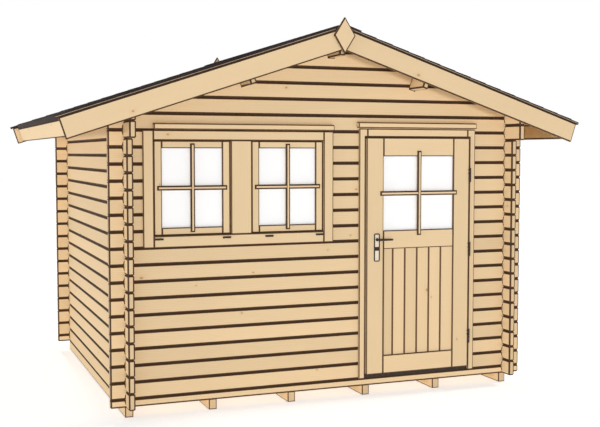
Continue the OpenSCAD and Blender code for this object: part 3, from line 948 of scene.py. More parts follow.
    def copy(self, node: str, axes: Matrix, ends_only: bool = False) -> None:
        """Takes over the solids of a frame node, one timber for each loose solid.

        Its timbers are noted in the order of their places across the grain and then along it, so that
        each of them gets the same number in every run.

        Args:
            node: The frame node, whose solids keep their shape and place.
            axes: How its timbers lie.
            ends_only: Whether only the arrises round the end grain are chamfered.
        """
        bm = self.bm
        bm.from_mesh(bpy.data.objects[node].data)
        bmesh.ops.remove_doubles(bm, verts=bm.verts, dist=WELD)
        bmesh.ops.transform(bm, matrix=axes.inverted(), verts=bm.verts)
        bmesh.ops.dissolve_limit(bm, angle_limit=math.radians(0.5), verts=bm.verts, edges=bm.edges)
        bm.normal_update()
        dark = self.bevel(self._arrises(ends_only), self._chamfer)
        bm.normal_update()
        # the sides of the groove between logs take painted shade, in place of the shade in the joint
        dark.update(face for face in bm.faces if self._is_groove(face.normal))
        dark |= self._edging(set(bm.faces) - dark)
        for timber in sorted(parts_of(bm), key=lambda part: min(tuple(vert.co.yxz) for vert in part)):
            self._note(timber, dark)
        bmesh.ops.transform(bm, matrix=axes, verts=bm.verts)

    @staticmethod
    def _is_groove(normal: Vector) -> bool:
        """Whether a face is the slanted side of the groove between two logs."""
        return abs(normal.x) < 1.0 - SQUARE and 0.5 < abs(normal.y) < SQUARE

    def _arrises(self, ends_only: bool) -> list[Edge]:
        """The sharp convex edges of the timbers, or only those round their end grain."""
        faces = {face for face in self.bm.faces if not ends_only or abs(face.normal.x) > STRAIGHT}
        return [edge for edge in edges_of(faces) if edge.is_convex and edge.calc_face_angle(0.0) >= SHARP]


class MetalShape(Shape):
    """A mesh of turned and bevelled metal parts."""

    screw_rise: float = 0.35  # share of its radius by which a screw's head stands out
    screw_round: float = 0.7  # share of that rise by which its edge is rounded

    def block(self, low: Sequence[float], high: Sequence[float], bevel: float) -> None:
        """Adds a block with bevelled edges that fills a box."""
        size, middle = Vector(high) - Vector(low), (Vector(high) + Vector(low)) / 2
        self.bevel(edges_of(self.cube(size, middle)), bevel)

    def turned(self, middle: Sequence[float], axis: Sequence[float], length: float, radii: Sequence[float],
               bevel: float, sides: int = 24, segments: int = 2) -> None:
        """Adds a round bar, which may taper.

        Args:
            middle: The bar's middle.
            axis: The direction in which it runs.
            length: Its length.
            radii: Its radii at the start and at the end.
            bevel: Rounding of its two end edges.
            sides: Number of its flat sides.
            segments: Steps of the rounding.
        """
        turn = Vector((0, 0, 1)).rotation_difference(Vector(axis)).to_matrix().to_4x4()
        made = bmesh.ops.create_cone(self.bm, cap_ends=True, segments=sides, radius1=radii[0],
                                     radius2=radii[1], depth=length,
                                     matrix=Matrix.Translation(middle) @ turn)["verts"]
        caps = {face for face in faces_of(made) if len(face.verts) > 4}
        for face in faces_of(made) - caps:
            face.smooth = True
        self.bevel(edges_of(caps), bevel, segments)

    def rod(self, middle: Sequence[float], axis: Sequence[float], length: float, radius: float, bevel: float,
            sides: int = 24, segments: int = 2) -> None:
        """Adds a round bar of even radius."""
        self.turned(middle, axis, length, (radius, radius), bevel, sides, segments)

    def ball(self, middle: Sequence[float], radius: float) -> None:
        """Adds a ball.

        Args:
            middle: Its middle.
            radius: Its radius.
        """
        made = bmesh.ops.create_uvsphere(self.bm, u_segments=24, v_segments=14, radius=radius,
                                         matrix=Matrix.Translation(middle))["verts"]
        for face in faces_of(made):
            face.smooth = True

    def screw(self, middle: Sequence[float], axis: Sequence[float], radius: float) -> None:
        """Adds a low screw head, its face towards axis."""
        rise = radius * self.screw_rise
        self.rod(middle, axis, rise * 2, radius, rise * self.screw_round, sides=12, segments=1)

    def plate(self, outline: Rect, y0: float, y1: float, corner: float, bevel: float) -> None:
        """Adds an upright plate with round corners and softened edges."""
        flat = [face for face in self._slab(outline, y0, y1, corner) if abs(face.normal.y) > SQUARE]
        self.bevel(edges_of(flat), bevel, 2)

    def rim(self, outline: Rect, y0: float, y1: float, corner: float, width: float) -> None:
        """Adds an upright ring that follows a rectangle with round corners.

        Args:
            outline: Its outer rectangle.
            y0: Its front face.
            y1: Its rear face.
            corner: Radius of its outer corners.
            width: Width of the ring.
        """
        others = set(self.bm.faces)
        flat = [face for face in self._slab(outline, y0, y1, corner) if abs(face.normal.y) > SQUARE]
        bmesh.ops.inset_individual(self.bm, faces=flat, thickness=width, depth=0.0)
        edges = list(edges_of(flat))
        bmesh.ops.delete(self.bm, geom=flat, context="FACES_ONLY")
        bmesh.ops.bridge_loops(self.bm, edges=edges)
        bmesh.ops.recalc_face_normals(self.bm, faces=list(set(self.bm.faces) - others))

    def _slab(self, outline: Rect, y0: float, y1: float, corner: float) -> set[Face]:
        """Adds an upright slab with round corners.

        Args:
            outline: Its rectangle.
            y0: Its front face.
            y1: Its rear face.
            corner: Radius of its corners.

        Returns:
            Its faces.
        """
        others = set(self.bm.faces)
        low, high = Vector((outline.x0, y0, outline.z0)), Vector((outline.x1, y1, outline.z1))
        edges = edges_of(self.cube(high - low, (high + low) / 2))
        self.bevel([edge for edge in edges if self._is_level(edge)], corner, 6)
        made = set(self.bm.faces) - others
        for face in made:
            face.normal_update()
            face.smooth = abs(face.normal.y) < SQUARE
        return made

    @staticmethod
    def _is_level(edge: Edge) -> bool:
        """Whether an edge runs from front to rear."""
        a, b = (vert.co for vert in edge.verts)
        return abs((a - b).normalized().y) > SQUARE


class ShingleShape(Shape):
    """A mesh of thin bitumen tabs, each with a shade of its own."""

    def __init__(self, number: int) -> None:
        """Starts an empty mesh.

        Args:
            number: Number that its tabs count from.
        """
        super().__init__()
        self._number = number
        self._seed = self.bm.faces.layers.float.new("seed")

    def tab(self, size: Sequence[float], place: Matrix, thin: Triple = (0, 0, 1)) -> None:
        """Adds a tab that may be thinner at one end.

        Args:
            size: Its length down the slope, its width along the ridge and its thickness.
            place: Where the middle of its underside goes.
            thin: Direction of the thin end along the length and the width, and its share of the thickness.
        """
        made = self.cube(size, (0, 0, size[2] / 2))
        for vert in made:
            if vert.co.z > 0 and vert.co.x * thin[0] + vert.co.y * thin[1] > 0:
                vert.co.z = size[2] * thin[2]
        self._number += 1
        for face in faces_of(made):
            face[self._seed] = float(self._number)
        bmesh.ops.transform(self.bm, matrix=place, verts=made)


@dataclass
class Assembly:
    """A sub-assembly of the house: its finishes, and how its timbers are chamfered and edged."""

    finishes: Finishes
    chamfer: float = 0.004
    # width of the rims of painted shade on the timbers' faces
    line: float = 0.0

    def build(self) -> None:
        """Makes every piece of the sub-assembly."""
        raise NotImplementedError

    def timber(self, number: int) -> TimberShape:
        """An empty shape for timbers that are chamfered and edged."""
        return TimberShape(number, self.chamfer, self.line)

    def take_over(self, node: str, name: str, coat: Coat, axes: Matrix, number: int,
                  ends_only: bool = False) -> None:
        """Makes a piece of the timbers of one frame node.

        Args:
            node: The frame node.
            name: The piece's name.
            coat: What it is coated with.
            axes: How its timbers lie.
            number: Number that they count from.
            ends_only: Whether only their ends are chamfered.
        """
        shape = self.timber(number)
        shape.copy(node, axes, ends_only)
        shape.piece(name, coat, node)


@dataclass
class Foundation(Assembly):
    """The bearers and the boarded floor."""

    chamfer: float = 0.003
    line: float = 0.004
    board_w: float = 0.0914

    def build(self) -> None:
        """Makes the bearers and the floor."""
        node = "foundation_bearers"
        self.take_over(node, "bearers", self.finishes.logs, BEARER, Count.BEARERS.at())
        self._floor()

    def _floor(self) -> None:
        """Lays the floor boards from side to side, with a groove between them."""
        low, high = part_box("floor_boards")
        rows = round((high.y - low.y) / self.board_w)
        width = (high.y - low.y) / rows
        shape = TimberShape(Count.FLOOR.at(), self.chamfer)
        for row in range(rows):
            y = low.y + row * width
            shape.plank((low.x, y, low.z), (high.x, y + width, high.z), FLAT)
        shape.piece("floor_planks", self.finishes.planks, "floor_boards")


@dataclass
class Walls(Assembly):
    """Log walls, gables and the purlins that rest in them."""

    chamfer: float = 0.006
    line: float = 0.005

    def build(self) -> None:
        """Makes the logs of every wall."""
        level = ["front_sill_log", "front_wall_lower", "front_wall_left", "front_wall_pier",
                 "front_wall_right", "front_lintel_log", "front_gable", "rear_wall", "rear_gable"]
        for step, node in enumerate(level):
            self._logs(node, LEVEL, Count.LEVEL_LOGS.at(step))
        for step, node in enumerate(["left_wall", "right_wall", "left_eave_logs", "right_eave_logs"]):
            self._logs(node, SIDEWAYS, Count.SIDE_LOGS.at(step))
        self._logs("ridge_purlin", SIDEWAYS, Count.RIDGE_PURLIN.at(), ends_only=False)
        for side in Side:
            axes = Slope.of("roof_boards", side).ridgewise
            self._logs(f"{side.word}_purlin", axes, Count.PURLINS.at(side.value), ends_only=False)

    def _logs(self, node: str, axes: Matrix, number: int, ends_only: bool = True) -> None:
        """Takes over the logs of one frame node, chamfered at their ends or all along."""
        self.take_over(node, f"{node}_timber", self.finishes.logs, axes, number, ends_only)


@dataclass(frozen=True)
class Slope:
    """The upper face of one layer of the roof, from its top edge down to its eave."""

    top: Vector
    foot: Vector
    y0: float
    y1: float

    @classmethod
    def of(cls, layer: str, side: Side) -> Slope:
        """Reads a slope from a frame node of the roof.

        Args:
            layer: The layer whose upper face is wanted.
            side: The side of the roof.

        Returns:
            The slope between the layer's highest corner and its outermost one.
        """
        node = f"{layer}_{side.word}"
        corners = [vert.co for vert in bpy.data.objects[node].data.vertices]
        low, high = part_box(node)
        top = max(corners, key=lambda corner: corner.z)
        foot = max(corners, key=lambda corner: abs(corner.x))
        return cls(Vector((top.x, 0, top.z)), Vector((foot.x, 0, foot.z)), low.y, high.y)

    @property
    def down(self) -> Vector:
        """Direction down the slope."""
        return (self.foot - self.top).normalized()

    @property
    def length(self) -> float:
        """Length of the slope from its top edge to its eave."""
        return (self.foot - self.top).length

    @property
    def width(self) -> float:
        """Width of the slope from gable to gable."""
        return self.y1 - self.y0

    @property
    def normal(self) -> Vector:
        """Direction square to the slope, upwards."""
        across = self.down.cross(Vector((0, 1, 0)))
        return across if across.z > 0 else -across

    @property
    def ridgewise(self) -> Matrix:
        """How a timber lies that runs along the ridge with its width square to the slope."""
        return lie((0, 1, 0), self.normal)

    def place(self, s: float, y: float, n: float) -> Matrix:
        """Place of a timber with its grain down the slope: s down it, y along the ridge, n above the face."""
        origin = self.top + self.down * s + self.normal * n + Vector((0, y, 0))
        return lie(self.down, self.normal.cross(self.down), origin)


@dataclass
class Roof(Assembly):
    """Roof boards, shingles, barge boards, fascias and the diamond boards."""

    chamfer: float = 0.005
    line: float = 0.0045
    board_w: float = 0.0925
    board_chamfer: float = 0.003
    exposure: float = 0.143
    lap: float = 0.045
    head_gap: float = 0.004
    tab_w: float = 0.328
    tab_slot: float = 0.007
    tab_t: float = 0.0055
    tab_thin: Triple = (-1, 0, 0.12)
    cap_w: float = 0.30
    cap_slot: float = 0.002
    cap_lift: float = 0.9
    cap_thin: Triple = (0, 1, 0.4)
    edge_start: float = 0.075
    edge_proud: float = 0.003
    edge_h: float = 0.004
    edge_drop: float = 0.0125

    def build(self) -> None:
        """Makes every layer of the roof."""
        for side in Side:
            slope = Slope.of("roof_boards", side)
            self._planks(side, slope)
            self._shingles(side, slope.length)
            self._underlay(side)
            for end in End:
                number = Count.BARGES.at((side.value - end.value) // 2)
                self._trim(f"{end.word}_barge_{side.word}", lie(slope.down, slope.normal), number)
            self._trim(f"{side.word}_fascia", slope.ridgewise, Count.FASCIAS.at(side.value))
        for end in End:
            self._trim(f"{end.word}_finial", UPRIGHT, Count.FINIALS.at(end.value))
        self._ridge_caps()

    def _planks(self, side: Side, slope: Slope) -> None:
        """Lays the roof boards of one slope, which run from the ridge to the eave.

        Args:
            side: The side of the roof.
            slope: The boards' upper face.
        """
        node = f"roof_boards_{side.word}"
        low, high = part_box(node)
        thick = (high.z - low.z - slope.length * abs(slope.down.z)) * slope.normal.z
        rows = round(slope.width / self.board_w)
        width = slope.width / rows
        shape = TimberShape(Count.ROOF_BOARDS.at(side.value), self.board_chamfer)
        for row in range(rows):
            place = slope.place(slope.length / 2, slope.y0 + (row + 0.5) * width, -thick / 2)
            shape.board((slope.length, width, thick), place)
        shape.piece(f"{node}_planks", self.finishes.planks, node)

    def _shingles(self, side: Side, eave: float) -> None:
        """Lays courses of three-tab shingles over the covering of one slope.

        Args:
            side: The side of the roof.
            eave: Distance of the lowest course's foot from the top.
        """
        dress(f"roof_felt_{side.word}", self.finishes.bitumen)
        slope = Slope.of("roof_felt", side)
        shape = ShingleShape(Count.SHINGLES.at())
        margin = self.tab_slot / 2
        for course in range(math.ceil(eave / self.exposure)):
            foot = eave - course * self.exposure
            head = max(foot - self.exposure - self.lap, self.head_gap)
            start = slope.y0 - (course % 3) * self.tab_w / 3
            for tab in range(math.ceil((slope.y1 - start) / self.tab_w)):
                y0 = max(start + tab * self.tab_w, slope.y0) + margin
                y1 = min(start + (tab + 1) * self.tab_w, slope.y1) - margin
                if y1 - y0 > self.tab_slot:
                    place = slope.place((foot + head) / 2, (y0 + y1) / 2, 0)
                    shape.tab((foot - head, y1 - y0, self.tab_t), place, self.tab_thin)
        shape.piece(f"shingles_{side.word}", self.finishes.bitumen)

    def _underlay(self, side: Side) -> None:
        """Lets the edge of the underlay show as a strip along both ends of the covering.

        Args:
            side: The side of the roof.
        """
        slope = Slope.of("roof_felt", side)
        shape = ShingleShape(Count.UNDERLAY.at())
        length = slope.length - self.edge_start
        for end, y in zip(End, (slope.y0, slope.y1)):
            out = y + end.value * self.edge_proud / 2
            place = slope.place(self.edge_start + length / 2, out, -self.edge_drop)
            shape.tab((length, self.edge_proud, self.edge_h), place)
        shape.piece(f"underlay_edges_{side.word}", self.finishes.underlay)

    def _trim(self, node: str, axes: Matrix, number: int) -> None:
        """Takes over a board that trims the edge of the roof."""
        self.take_over(node, f"{node}_board", self.finishes.trim, axes, number)

    def _ridge_caps(self) -> None:
        """Bends a row of caps over the ridge, lapped towards the front."""
        slopes = [Slope.of("roof_felt", side) for side in Side]
        shape = ShingleShape(Count.RIDGE_CAPS.at())
        count = math.ceil(slopes[0].width / self.exposure)
        step = slopes[0].width / count
        for number in range(count):
            for slope in slopes:
                y = slope.y0 + (number + 0.5) * step
                place = slope.place(self.cap_w / 4, y, self.tab_t * self.cap_lift)
                shape.tab((self.cap_w / 2, step - self.cap_slot, self.tab_t), place, self.cap_thin)
        shape.piece("ridge_caps", self.finishes.bitumen)


@dataclass(frozen=True)
class GlazingBars:
    """A cross of glazing bars that lies over the face of a sash or a door."""

    width: float
    thickness: float
    over_x: float
    over_z: float
    chamfer: float = 0.008
    lap: float = 0.85

    def lay(self, number: int, line: float, light: Rect, face: float) -> TimberShape:
        """Makes the cross.

        Args:
            number: Number that its bars count from.
            line: Width of the painted shade along the rims.
            light: The part of the pane that shows.
            face: The face that the bars lie on.

        Returns:
            The shape of both bars.
        """
        shape = TimberShape(number, self.chamfer, line)
        middle = ((light.x0 + light.x1) / 2, face, (light.z0 + light.z1) / 2)
        across = light.x1 - light.x0 + 2 * self.over_x
        upright = light.z1 - light.z0 + 2 * self.over_z
        shape.bar(middle, (across, self.width, self.thickness * self.lap), LEVEL)
        shape.bar(middle, (upright, self.width, self.thickness), UPRIGHT)
        return shape


@dataclass
class Window(Assembly):
    """The double window: casings, lining, two sashes, glazing bars, panes and hinges."""

    line: float = 0.003
    gap: float = 0.005
    stop: float = 0.014
    stop_gap: float = 0.001
    bars: GlazingBars = GlazingBars(0.034, 0.012, 0.035, 0.035)
    knuckle_gap: float = 0.001
    knuckle_round: float = 0.0012
    leaf_t: float = 0.003
    leaf_bevel: float = 0.0008

    def build(self) -> None:
        """Makes the window's frame, both sashes, the drip board and the hinges."""
        self._frame()
        for side in Side:
            self._sash(side)
        joinery = self.finishes.joinery
        self.take_over("window_drip", "window_drip_strip", joinery, LEVEL, Count.WINDOW_DRIP.at())
        self._hinges()

    def _frame(self) -> None:
        """Builds casings on both wall faces, the lining between the logs and the stops."""
        left, right = (rect_of(f"{side.word}_sash").grown(self.gap) for side in Side)
        outer = rect_of("window_frame")
        both = Rect(left.x0, right.x1, left.z0, left.z1)
        low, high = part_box("window_frame")
        wall_low, wall_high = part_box("front_wall_pier")
        hole = Rect(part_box("front_wall_left")[1].x, wall_low.x, outer.z0, outer.z1)
        sash_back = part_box("left_sash")[1].y
        shape = self.timber(Count.WINDOW_FRAME.at())
        layers = ((outer, low.y, wall_low.y), (outer, wall_high.y, high.y), (hole, wall_low.y, wall_high.y))
        for rim, y0, y1 in layers:
            shape.ring(rim, both, y0, y1)
            shape.plank((left.x1, y0, left.z0), (right.x0, y1, left.z1), UPRIGHT)
        for opening in (left, right):
            shape.ring(opening, opening.grown(-self.stop), sash_back + self.stop_gap, high.y)
        shape.piece("window_casing", self.finishes.joinery, "window_frame")

    def _sash(self, side: Side) -> None:
        """Builds one sash with its glazing bars, and dresses its pane.

        Args:
            side: The side that the sash is on.
        """
        node = f"{side.word}_sash"
        glass = f"{side.word}_glass"
        low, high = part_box(node)
        light = light_of(glass)
        shape = self.timber(Count.SASHES.at(side.value))
        shape.ring(rect_of(node), light, low.y, high.y)
        shape.darken(light)
        shape.piece(f"{node}_frame", self.finishes.joinery, node)
        bars = self.bars.lay(Count.SASH_BARS.at(side.value), self.line, light, low.y)
        bars.piece(f"{node}_bars", self.finishes.trim)
        dress(glass, self.finishes.glass)

    def _hinges(self) -> None:
        """Makes the four small hinges on the board below the sashes."""
        shape = MetalShape()
        for low, high in loose_boxes("window_hinges"):
            radius = (high.z - low.z) / 2
            middle = (low + high) / 2
            knuckle = (high.x - low.x) / 3
            for part in (-1, 0, 1):
                place = (middle.x + part * knuckle, low.y + radius, middle.z)
                shape.rod(place, (1, 0, 0), knuckle - self.knuckle_gap, radius, self.knuckle_round, 16, 1)
            shape.block((low.x, high.y - self.leaf_t, low.z), high, self.leaf_bevel)
        shape.piece("sash_hinges", self.finishes.dark_metal, "window_hinges")


@dataclass
class Door(Assembly):
    """The half-glazed door and its frame."""

    line: float = 0.0032
    gap: float = 0.009
    head_gap: float = 0.007
    stop: float = 0.020
    stop_gap: float = 0.005
    stile_w: float = 0.145
    rail_h: float = 0.145
    panel_board: float = 0.107
    panel_chamfer: float = 0.005
    bars: GlazingBars = GlazingBars(0.036, 0.012, 0.030, 0.043)

    def build(self) -> None:
        """Makes the door's frame, the door and everything on it."""
        joinery = self.finishes.joinery
        self._frame()
        self.take_over("door_drip", "door_drip_strip", joinery, LEVEL, Count.DOOR_DRIP.at())
        dress("door_threshold", self.finishes.dark_metal)
        self._leaf()
        self._panel()
        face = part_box("door_leaf")[0].y
        bars = self.bars.lay(Count.DOOR_BARS.at(), self.line, light_of("door_glass"), face)
        bars.piece("door_glazing_bars", self.finishes.trim, body=Body.DOOR)

    def _frame(self) -> None:
        """Builds casings on both wall faces, the lining and its stop."""
        outer = rect_of("door_frame")
        leaf = rect_of("door_leaf")
        clear = Rect(leaf.x0 - self.gap, leaf.x1 + self.gap, outer.z0, leaf.z1 + self.head_gap)
        low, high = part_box("door_frame")
        wall_low, wall_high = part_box("front_wall_pier")
        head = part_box("front_lintel_log")[0].z
        hole = Rect(wall_high.x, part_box("front_wall_right")[0].x, outer.z0, head)
        shape = self.timber(Count.DOOR_FRAME.at())
        for y0, y1 in ((low.y, wall_low.y), (wall_high.y, high.y)):
            self._casing(shape, outer, clear, y0, y1)
        shape.ring(hole, clear, wall_low.y, wall_high.y, closed=False)
        inner = Rect(clear.x0 + self.stop, clear.x1 - self.stop, clear.z0, clear.z1 - self.stop)
        shape.ring(clear, inner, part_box("door_leaf")[1].y + self.stop_gap, high.y, closed=False)
        shape.piece("door_casing", self.finishes.joinery, "door_frame")

    def _casing(self, shape: TimberShape, outer: Rect, clear: Rect, y0: float, y1: float) -> None:
        """Adds two rebated posts, wider at the head than beside the door, and the head board between them.

        Args:
            shape: The shape that takes them.
            outer: The casing's outer rectangle.
            clear: The opening in it.
            y0: Its front face.
            y1: Its rear face.
        """
        for edge, inner, inwards in ((outer.x0, clear.x0, 1), (outer.x1, clear.x1, -1)):
            wide = inner + inwards * self.stop
            outline = [(edge, outer.z0), (inner, outer.z0), (inner, clear.z1), (wide, clear.z1),
                       (wide, outer.z1), (edge, outer.z1)]
            shape.cut_out(outline, y0, y1, UPRIGHT)
        shape.plank((clear.x0 + self.stop, y0, clear.z1), (clear.x1 - self.stop, y1, outer.z1), LEVEL)

    def _leaf(self) -> None:
        """Builds the two stiles and three rails of the door, and dresses its pane."""
        low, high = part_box("door_leaf")
        light = light_of("door_glass")
        x0, x1 = low.x + self.stile_w, high.x - self.stile_w
        panel = Rect(x0, x1, low.z + self.rail_h, light.z0 - self.rail_h)
        shape = self.timber(Count.DOOR_LEAF.at())
        for a, b in ((low.x, x0), (x1, high.x)):
            shape.plank((a, low.y, low.z), (b, high.y, high.z), UPRIGHT)
        for a, b in ((light.z1, high.z), (panel.z1, light.z0), (low.z, panel.z0)):
            shape.plank((x0, low.y, a), (x1, high.y, b), LEVEL)
        shape.darken(Rect(x0, x1, light.z0, light.z1))
        shape.darken(panel)
        shape.piece("door_stiles_and_rails", self.finishes.joinery, "door_leaf", body=Body.DOOR)
        dress("door_glass", self.finishes.glass)

    def _panel(self) -> None:
        """Boards the lower part of the door, from a strip in the left stile's groove to the right stile."""
        low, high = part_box("door_panel")
        leaf = rect_of("door_leaf")
        x0, x1 = leaf.x0 + self.stile_w, leaf.x1 - self.stile_w
        whole = int((x1 - x0) / self.panel_board)
        joints = [x1 - row * self.panel_board for row in range(whole, 0, -1)]
        edges = [low.x, x0 + self.panel_chamfer, *joints, high.x]
        shape = TimberShape(Count.DOOR_PANEL.at(), self.panel_chamfer, self.line)
        for a, b in zip(edges, edges[1:]):
            shape.plank((a, low.y, low.z), (b, high.y, high.z), UPRIGHT)
        shape.piece("door_panel_boards", self.finishes.panel, "door_panel", body=Body.DOOR)


@dataclass
class Ironmongery(Assembly):
    """The door's hinges, handle plates, lock and levers."""

    barrel_r: float = 0.008
    barrel_gap: float = 0.0005
    barrel_round: float = 0.0022
    pin_r: float = 0.004
    pin_share: float = 0.9
    pin_short: float = 0.001
    pin_round: float = 0.0005
    screw_r: float = 0.0035
    screw_l: float = 0.042
    frame_turn_deg: float = -40.0
    leaf_turn_deg: float = 55.0
    corner: float = 0.0125
    rim_w: float = 0.0088
    rim_lap: float = 0.2
    plate_sink: float = 0.0012
    plate_screw_r: float = 0.0042
    band_h: float = 0.030
    band_corner: float = 0.003
    cylinder_round: float = 0.0012
    key_w: float = 0.0022
    key_h: float = 0.0084
    key_sink: float = 0.002
    key_proud: float = 0.0002
    neck_r: float = 0.009
    neck_share: float = 0.9
    boss_r: float = 0.0125
    boss_t: float = 0.007
    boss_round: float = 0.0018
    grip_r: float = 0.0088
    grip_taper: float = 0.86
    tip_round: float = 0.8
    fine: float = 0.0001  # the smallest edges are rounded by a few of these

    def build(self) -> None:
        """Makes the hinges and everything round the lock."""
        self._hinge_halves("frame_hinges", Body.HOUSE)
        self._hinge_halves("leaf_hinges", Body.DOOR)
        plates = sorted(loose_boxes("handle_plates"), key=lambda box: box[0].y)
        self._plates(plates)
        self._lock()
        self._levers(plates)

    def _hinge_halves(self, node: str, body: Body) -> None:
        """Makes the barrels of one half of every hinge, with their screws, and the pins of the lower halves.

        Args:
            node: The frame node of these halves.
            body: The body that they ride on. Those of the house are the lower halves.
        """
        shape = MetalShape()
        lower = body is Body.HOUSE
        turn = math.radians(self.frame_turn_deg if lower else self.leaf_turn_deg)
        away = Vector((-math.sin(turn), math.cos(turn), 0))
        for low, high in loose_boxes(node):
            x = low.x + self.barrel_r if lower else high.x - self.barrel_r
            axis = Vector((x, low.y + self.barrel_r, 0))
            whole = (high.z - low.z) / self.pin_share if lower else (high.z - low.z) * 2
            top = low.z + (whole - self.barrel_gap) / 2 if lower else high.z
            middle = axis + Vector((0, 0, (low.z + top) / 2))
            shape.rod(middle, (0, 0, 1), top - low.z, self.barrel_r, self.barrel_round, segments=3)
            if lower:
                pin = axis + Vector((0, 0, (low.z + high.z) / 2))
                length = high.z - low.z - self.pin_short
                shape.rod(pin, (0, 0, 1), length, self.pin_r, self.pin_round, 12, 1)
            for step in (-1, 1):
                shank = middle + Vector((0, 0, step * whole / 8)) + away * self.screw_l / 2
                shape.rod(shank, away, self.screw_l, self.screw_r, self.fine * 3, 12, 1)
        shape.piece(f"{node}_barrels", self.finishes.dark_metal, node, body=body)

    def _plates(self, plates: Sequence[Box]) -> None:
        """Makes pale plates with dark rims, and a dark band across each at the lock.

        Args:
            plates: The boxes of the plates, the front one first.
        """
        faces, rims = MetalShape(), MetalShape()
        cylinder = rect_of("lock_cylinder")
        lock = (cylinder.z0 + cylinder.z1) / 2
        inwards = self.rim_w * (1.0 - self.rim_lap)
        for end, (low, high) in zip(End, plates):
            outline = Rect.seen(low, high)
            inset = outline.grown(-inwards)
            band = Rect(inset.x0, inset.x1, lock - self.band_h / 2, lock + self.band_h / 2)
            face, back = (low.y, high.y) if end is End.FRONT else (high.y, low.y)
            sunk = face - end.value * self.plate_sink
            faces.plate(inset, min(sunk, back), max(sunk, back), self.corner - inwards, self.fine * 3)
            rims.rim(outline, low.y, high.y, self.corner, self.rim_w)
            rims.plate(band, min(face, sunk), max(face, sunk), self.band_corner, self.fine * 4)
            for z in (inset.z0 + self.corner, inset.z1 - self.corner):
                faces.screw(((low.x + high.x) / 2, sunk, z), (0, end.value, 0), self.plate_screw_r)
        faces.piece("handle_plate_faces", self.finishes.plate_metal, "handle_plates", body=Body.DOOR)
        rims.piece("handle_plate_rims", self.finishes.dark_metal, "handle_plates", body=Body.DOOR)

    def _lock(self) -> None:
        """Makes the lock cylinder, with a near-black block at each end, painted shade that stands for the
        keyhole.
        """
        low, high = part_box("lock_cylinder")
        middle = (low + high) / 2
        shape, keyhole_shades = MetalShape(), MetalShape()
        shape.rod(middle, (0, 1, 0), high.y - low.y, (high.x - low.x) / 2, self.cylinder_round)
        half = Vector((self.key_w / 2, 0, self.key_h / 2))
        for end, y in zip(End, (low.y, high.y)):
            ends = sorted((y - end.value * self.key_sink, y + end.value * self.key_proud))
            near, far = (Vector((middle.x, depth, middle.z)) for depth in ends)
            # a near-black block, painted shade in place of the keyhole's dark inside
            keyhole_shades.block(near - half, far + half, self.fine)
        shape.piece("lock_barrel", self.finishes.dark_metal, "lock_cylinder", body=Body.DOOR)
        keyhole_shades.piece("key_slots", self.finishes.key_slot, body=Body.DOOR)

    def _levers(self, plates: Sequence[Box]) -> None:
        """Makes the two levers with their bosses, joined by the spindle.

        Args:
            plates: The boxes of the plates, the front one first.
        """
        low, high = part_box("door_lever")
        shape = MetalShape()
        x, z = low.x + self.neck_r, (low.z + high.z) / 2
        across = (0, 1, 0)
        for end, box, reach in zip(End, plates, (low.y, high.y)):
            plate = box[0].y if end is End.FRONT else box[1].y
            arm = reach - end.value * self.neck_r
            boss = plate + end.value * (self.boss_t / 2 + self.fine * 4)
            shape.rod((x, boss, z), across, self.boss_t, self.boss_r, self.boss_round, 32, 3)
            neck_r = self.neck_r * self.neck_share
            shape.rod((x, (plate + arm) / 2, z), across, abs(arm - plate), neck_r, self.fine * 4)
            shape.ball((x, arm, z), self.neck_r)
            tip_r = self.grip_r * self.grip_taper
            grip = Vector((high.x - x, 0, 0))
            shape.turned(((x + high.x) / 2, arm, z), grip, grip.length, (self.grip_r, tip_r),
                         tip_r * self.tip_round, segments=4)
        length = plates[1][1].y - plates[0][0].y
        shape.rod((x, (low.y + high.y) / 2, z), across, length, self.pin_r, self.fine * 3, 16, 1)
        shape.piece("door_levers", self.finishes.dark_metal, "door_lever", body=Body.LEVER)


@dataclass(frozen=True)
class Lamp:
    """A soft sun that faces one side of the house.

    It stands turn_deg from +X towards +Y and rise_deg over the horizon.
    """

    name: str
    strength: float
    turn_deg: float
    rise_deg: float
    spread_deg: float = 8.0

    def hang(self) -> None:
        """Hangs the lamp in the scene."""
        lamp = bpy.data.lights.new(self.name, "SUN")
        lamp.energy = self.strength
        lamp.angle = math.radians(self.spread_deg)
        obj = bpy.data.objects.new(self.name, lamp)
        obj.rotation_euler = (math.radians(90.0 - self.rise_deg), 0.0, math.radians(self.turn_deg + 90.0))
        bpy.context.scene.collection.objects.link(obj)


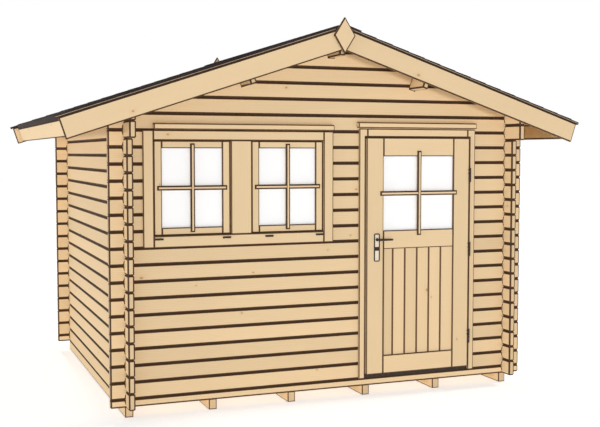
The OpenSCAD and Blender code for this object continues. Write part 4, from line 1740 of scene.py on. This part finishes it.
@dataclass
class Studio:
    """A pale studio with a camera at three quarters from the left."""

    place: Triple = (-2.9856, -8.4231, 1.9116)
    tilt_deg: float = 86.52
    turn_deg: float = -21.245
    lens_mm: float = 59.52
    sensor_mm: float = 36.0
    reach: float = 200.0
    ambient: float = 0.36
    lamps: Sequence[Lamp] = (
        Lamp("key_front", 0.99, -98.0, -3.0),
        Lamp("key_left", 0.93, 188.0, -3.0),
        Lamp("fill_rear", 0.95, 90.0, 32.0),
        Lamp("fill_right", 0.95, 0.0, 32.0),
    )
    floor_paint: tuple[float, float, float, float] = (0.93, 0.93, 0.93, 1.0)
    floor_glow: tuple[float, float, float, float] = (0.51, 0.525, 0.545, 1.0)
    floor_bounce: float = 0.50
    floor_size: float = 120.0

    def build(self) -> None:
        """Makes the world, the lamps, the floor and the camera."""
        bpy.context.scene.view_settings.view_transform = "Standard"
        self._world()
        for lamp in self.lamps:
            lamp.hang()
        self._floor()
        self._camera()

    def _world(self) -> None:
        """Lights evenly from all round, and shows plain white behind everything."""
        world = bpy.data.worlds.new("studio")
        bpy.context.scene.world = world
        g = Graph(world)
        rays = g.node("ShaderNodeLightPath", {}).outputs
        seen = g.plus(rays["Is Camera Ray"], rays["Is Glossy Ray"], True)
        clear = g.plus(seen, rays["Is Transmission Ray"], True)
        sky = {"Color": WHITE, "Strength": g.spread(clear, self.ambient, 1.0)}
        g.end("ShaderNodeOutputWorld", g.node("ShaderNodeBackground", sky))

    def _floor(self) -> None:
        """Lays a white floor that fades into the background and keeps the house's shade.

        It lets the two low lamps past, which light the walls up to the roof from under the horizon.
        """
        bm = bmesh.new()
        bmesh.ops.create_grid(bm, x_segments=1, y_segments=1, size=self.floor_size / 2)
        mesh = bpy.data.meshes.new("studio_floor")
        bm.to_mesh(mesh)
        bm.free()
        g = Graph(bpy.data.materials.new("studio_floor"))
        paint = g.node("ShaderNodeBsdfDiffuse", {"Color": self.floor_paint})
        glow = g.node("ShaderNodeEmission", {"Color": self.floor_glow, "Strength": 1.0})
        bounce = g.node("ShaderNodeEmission", {"Color": WHITE, "Strength": self.floor_bounce})
        seen = g.node("ShaderNodeLightPath", {}).outputs["Is Camera Ray"]
        lit = g.node("ShaderNodeMixShader", {0: seen, 1: bounce.outputs[0], 2: glow.outputs[0]})
        both = g.node("ShaderNodeAddShader", {0: paint.outputs[0], 1: lit.outputs[0]})
        g.end("ShaderNodeOutputMaterial", both)
        mesh.materials.append(bpy.data.materials["studio_floor"])
        obj = bpy.data.objects.new("studio_floor", mesh)
        obj.visible_shadow = False
        bpy.context.scene.collection.objects.link(obj)

    def _camera(self) -> None:
        """Puts the camera in its place."""
        data = bpy.data.cameras.new("camera")
        data.lens = self.lens_mm
        data.sensor_width = self.sensor_mm
        data.clip_end = self.reach
        obj = bpy.data.objects.new("camera", data)
        obj.location = self.place
        obj.rotation_euler = (math.radians(self.tilt_deg), 0.0, math.radians(self.turn_deg))
        bpy.context.scene.collection.objects.link(obj)
        bpy.context.scene.camera = obj


def main() -> None:
    """Builds the studio and then the house, sub-assembly by sub-assembly."""
    logging.basicConfig(level=logging.INFO, format="%(message)s")
    for obj in list(bpy.data.objects):
        bpy.data.objects.remove(obj)
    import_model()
    Studio().build()
    finishes = Finishes.make()
    for kind in (Foundation, Walls, Roof, Window, Door, Ironmongery):
        LOG.info("building %s", kind.__name__)
        kind(finishes).build()


if __name__ == "__main__":
    main()
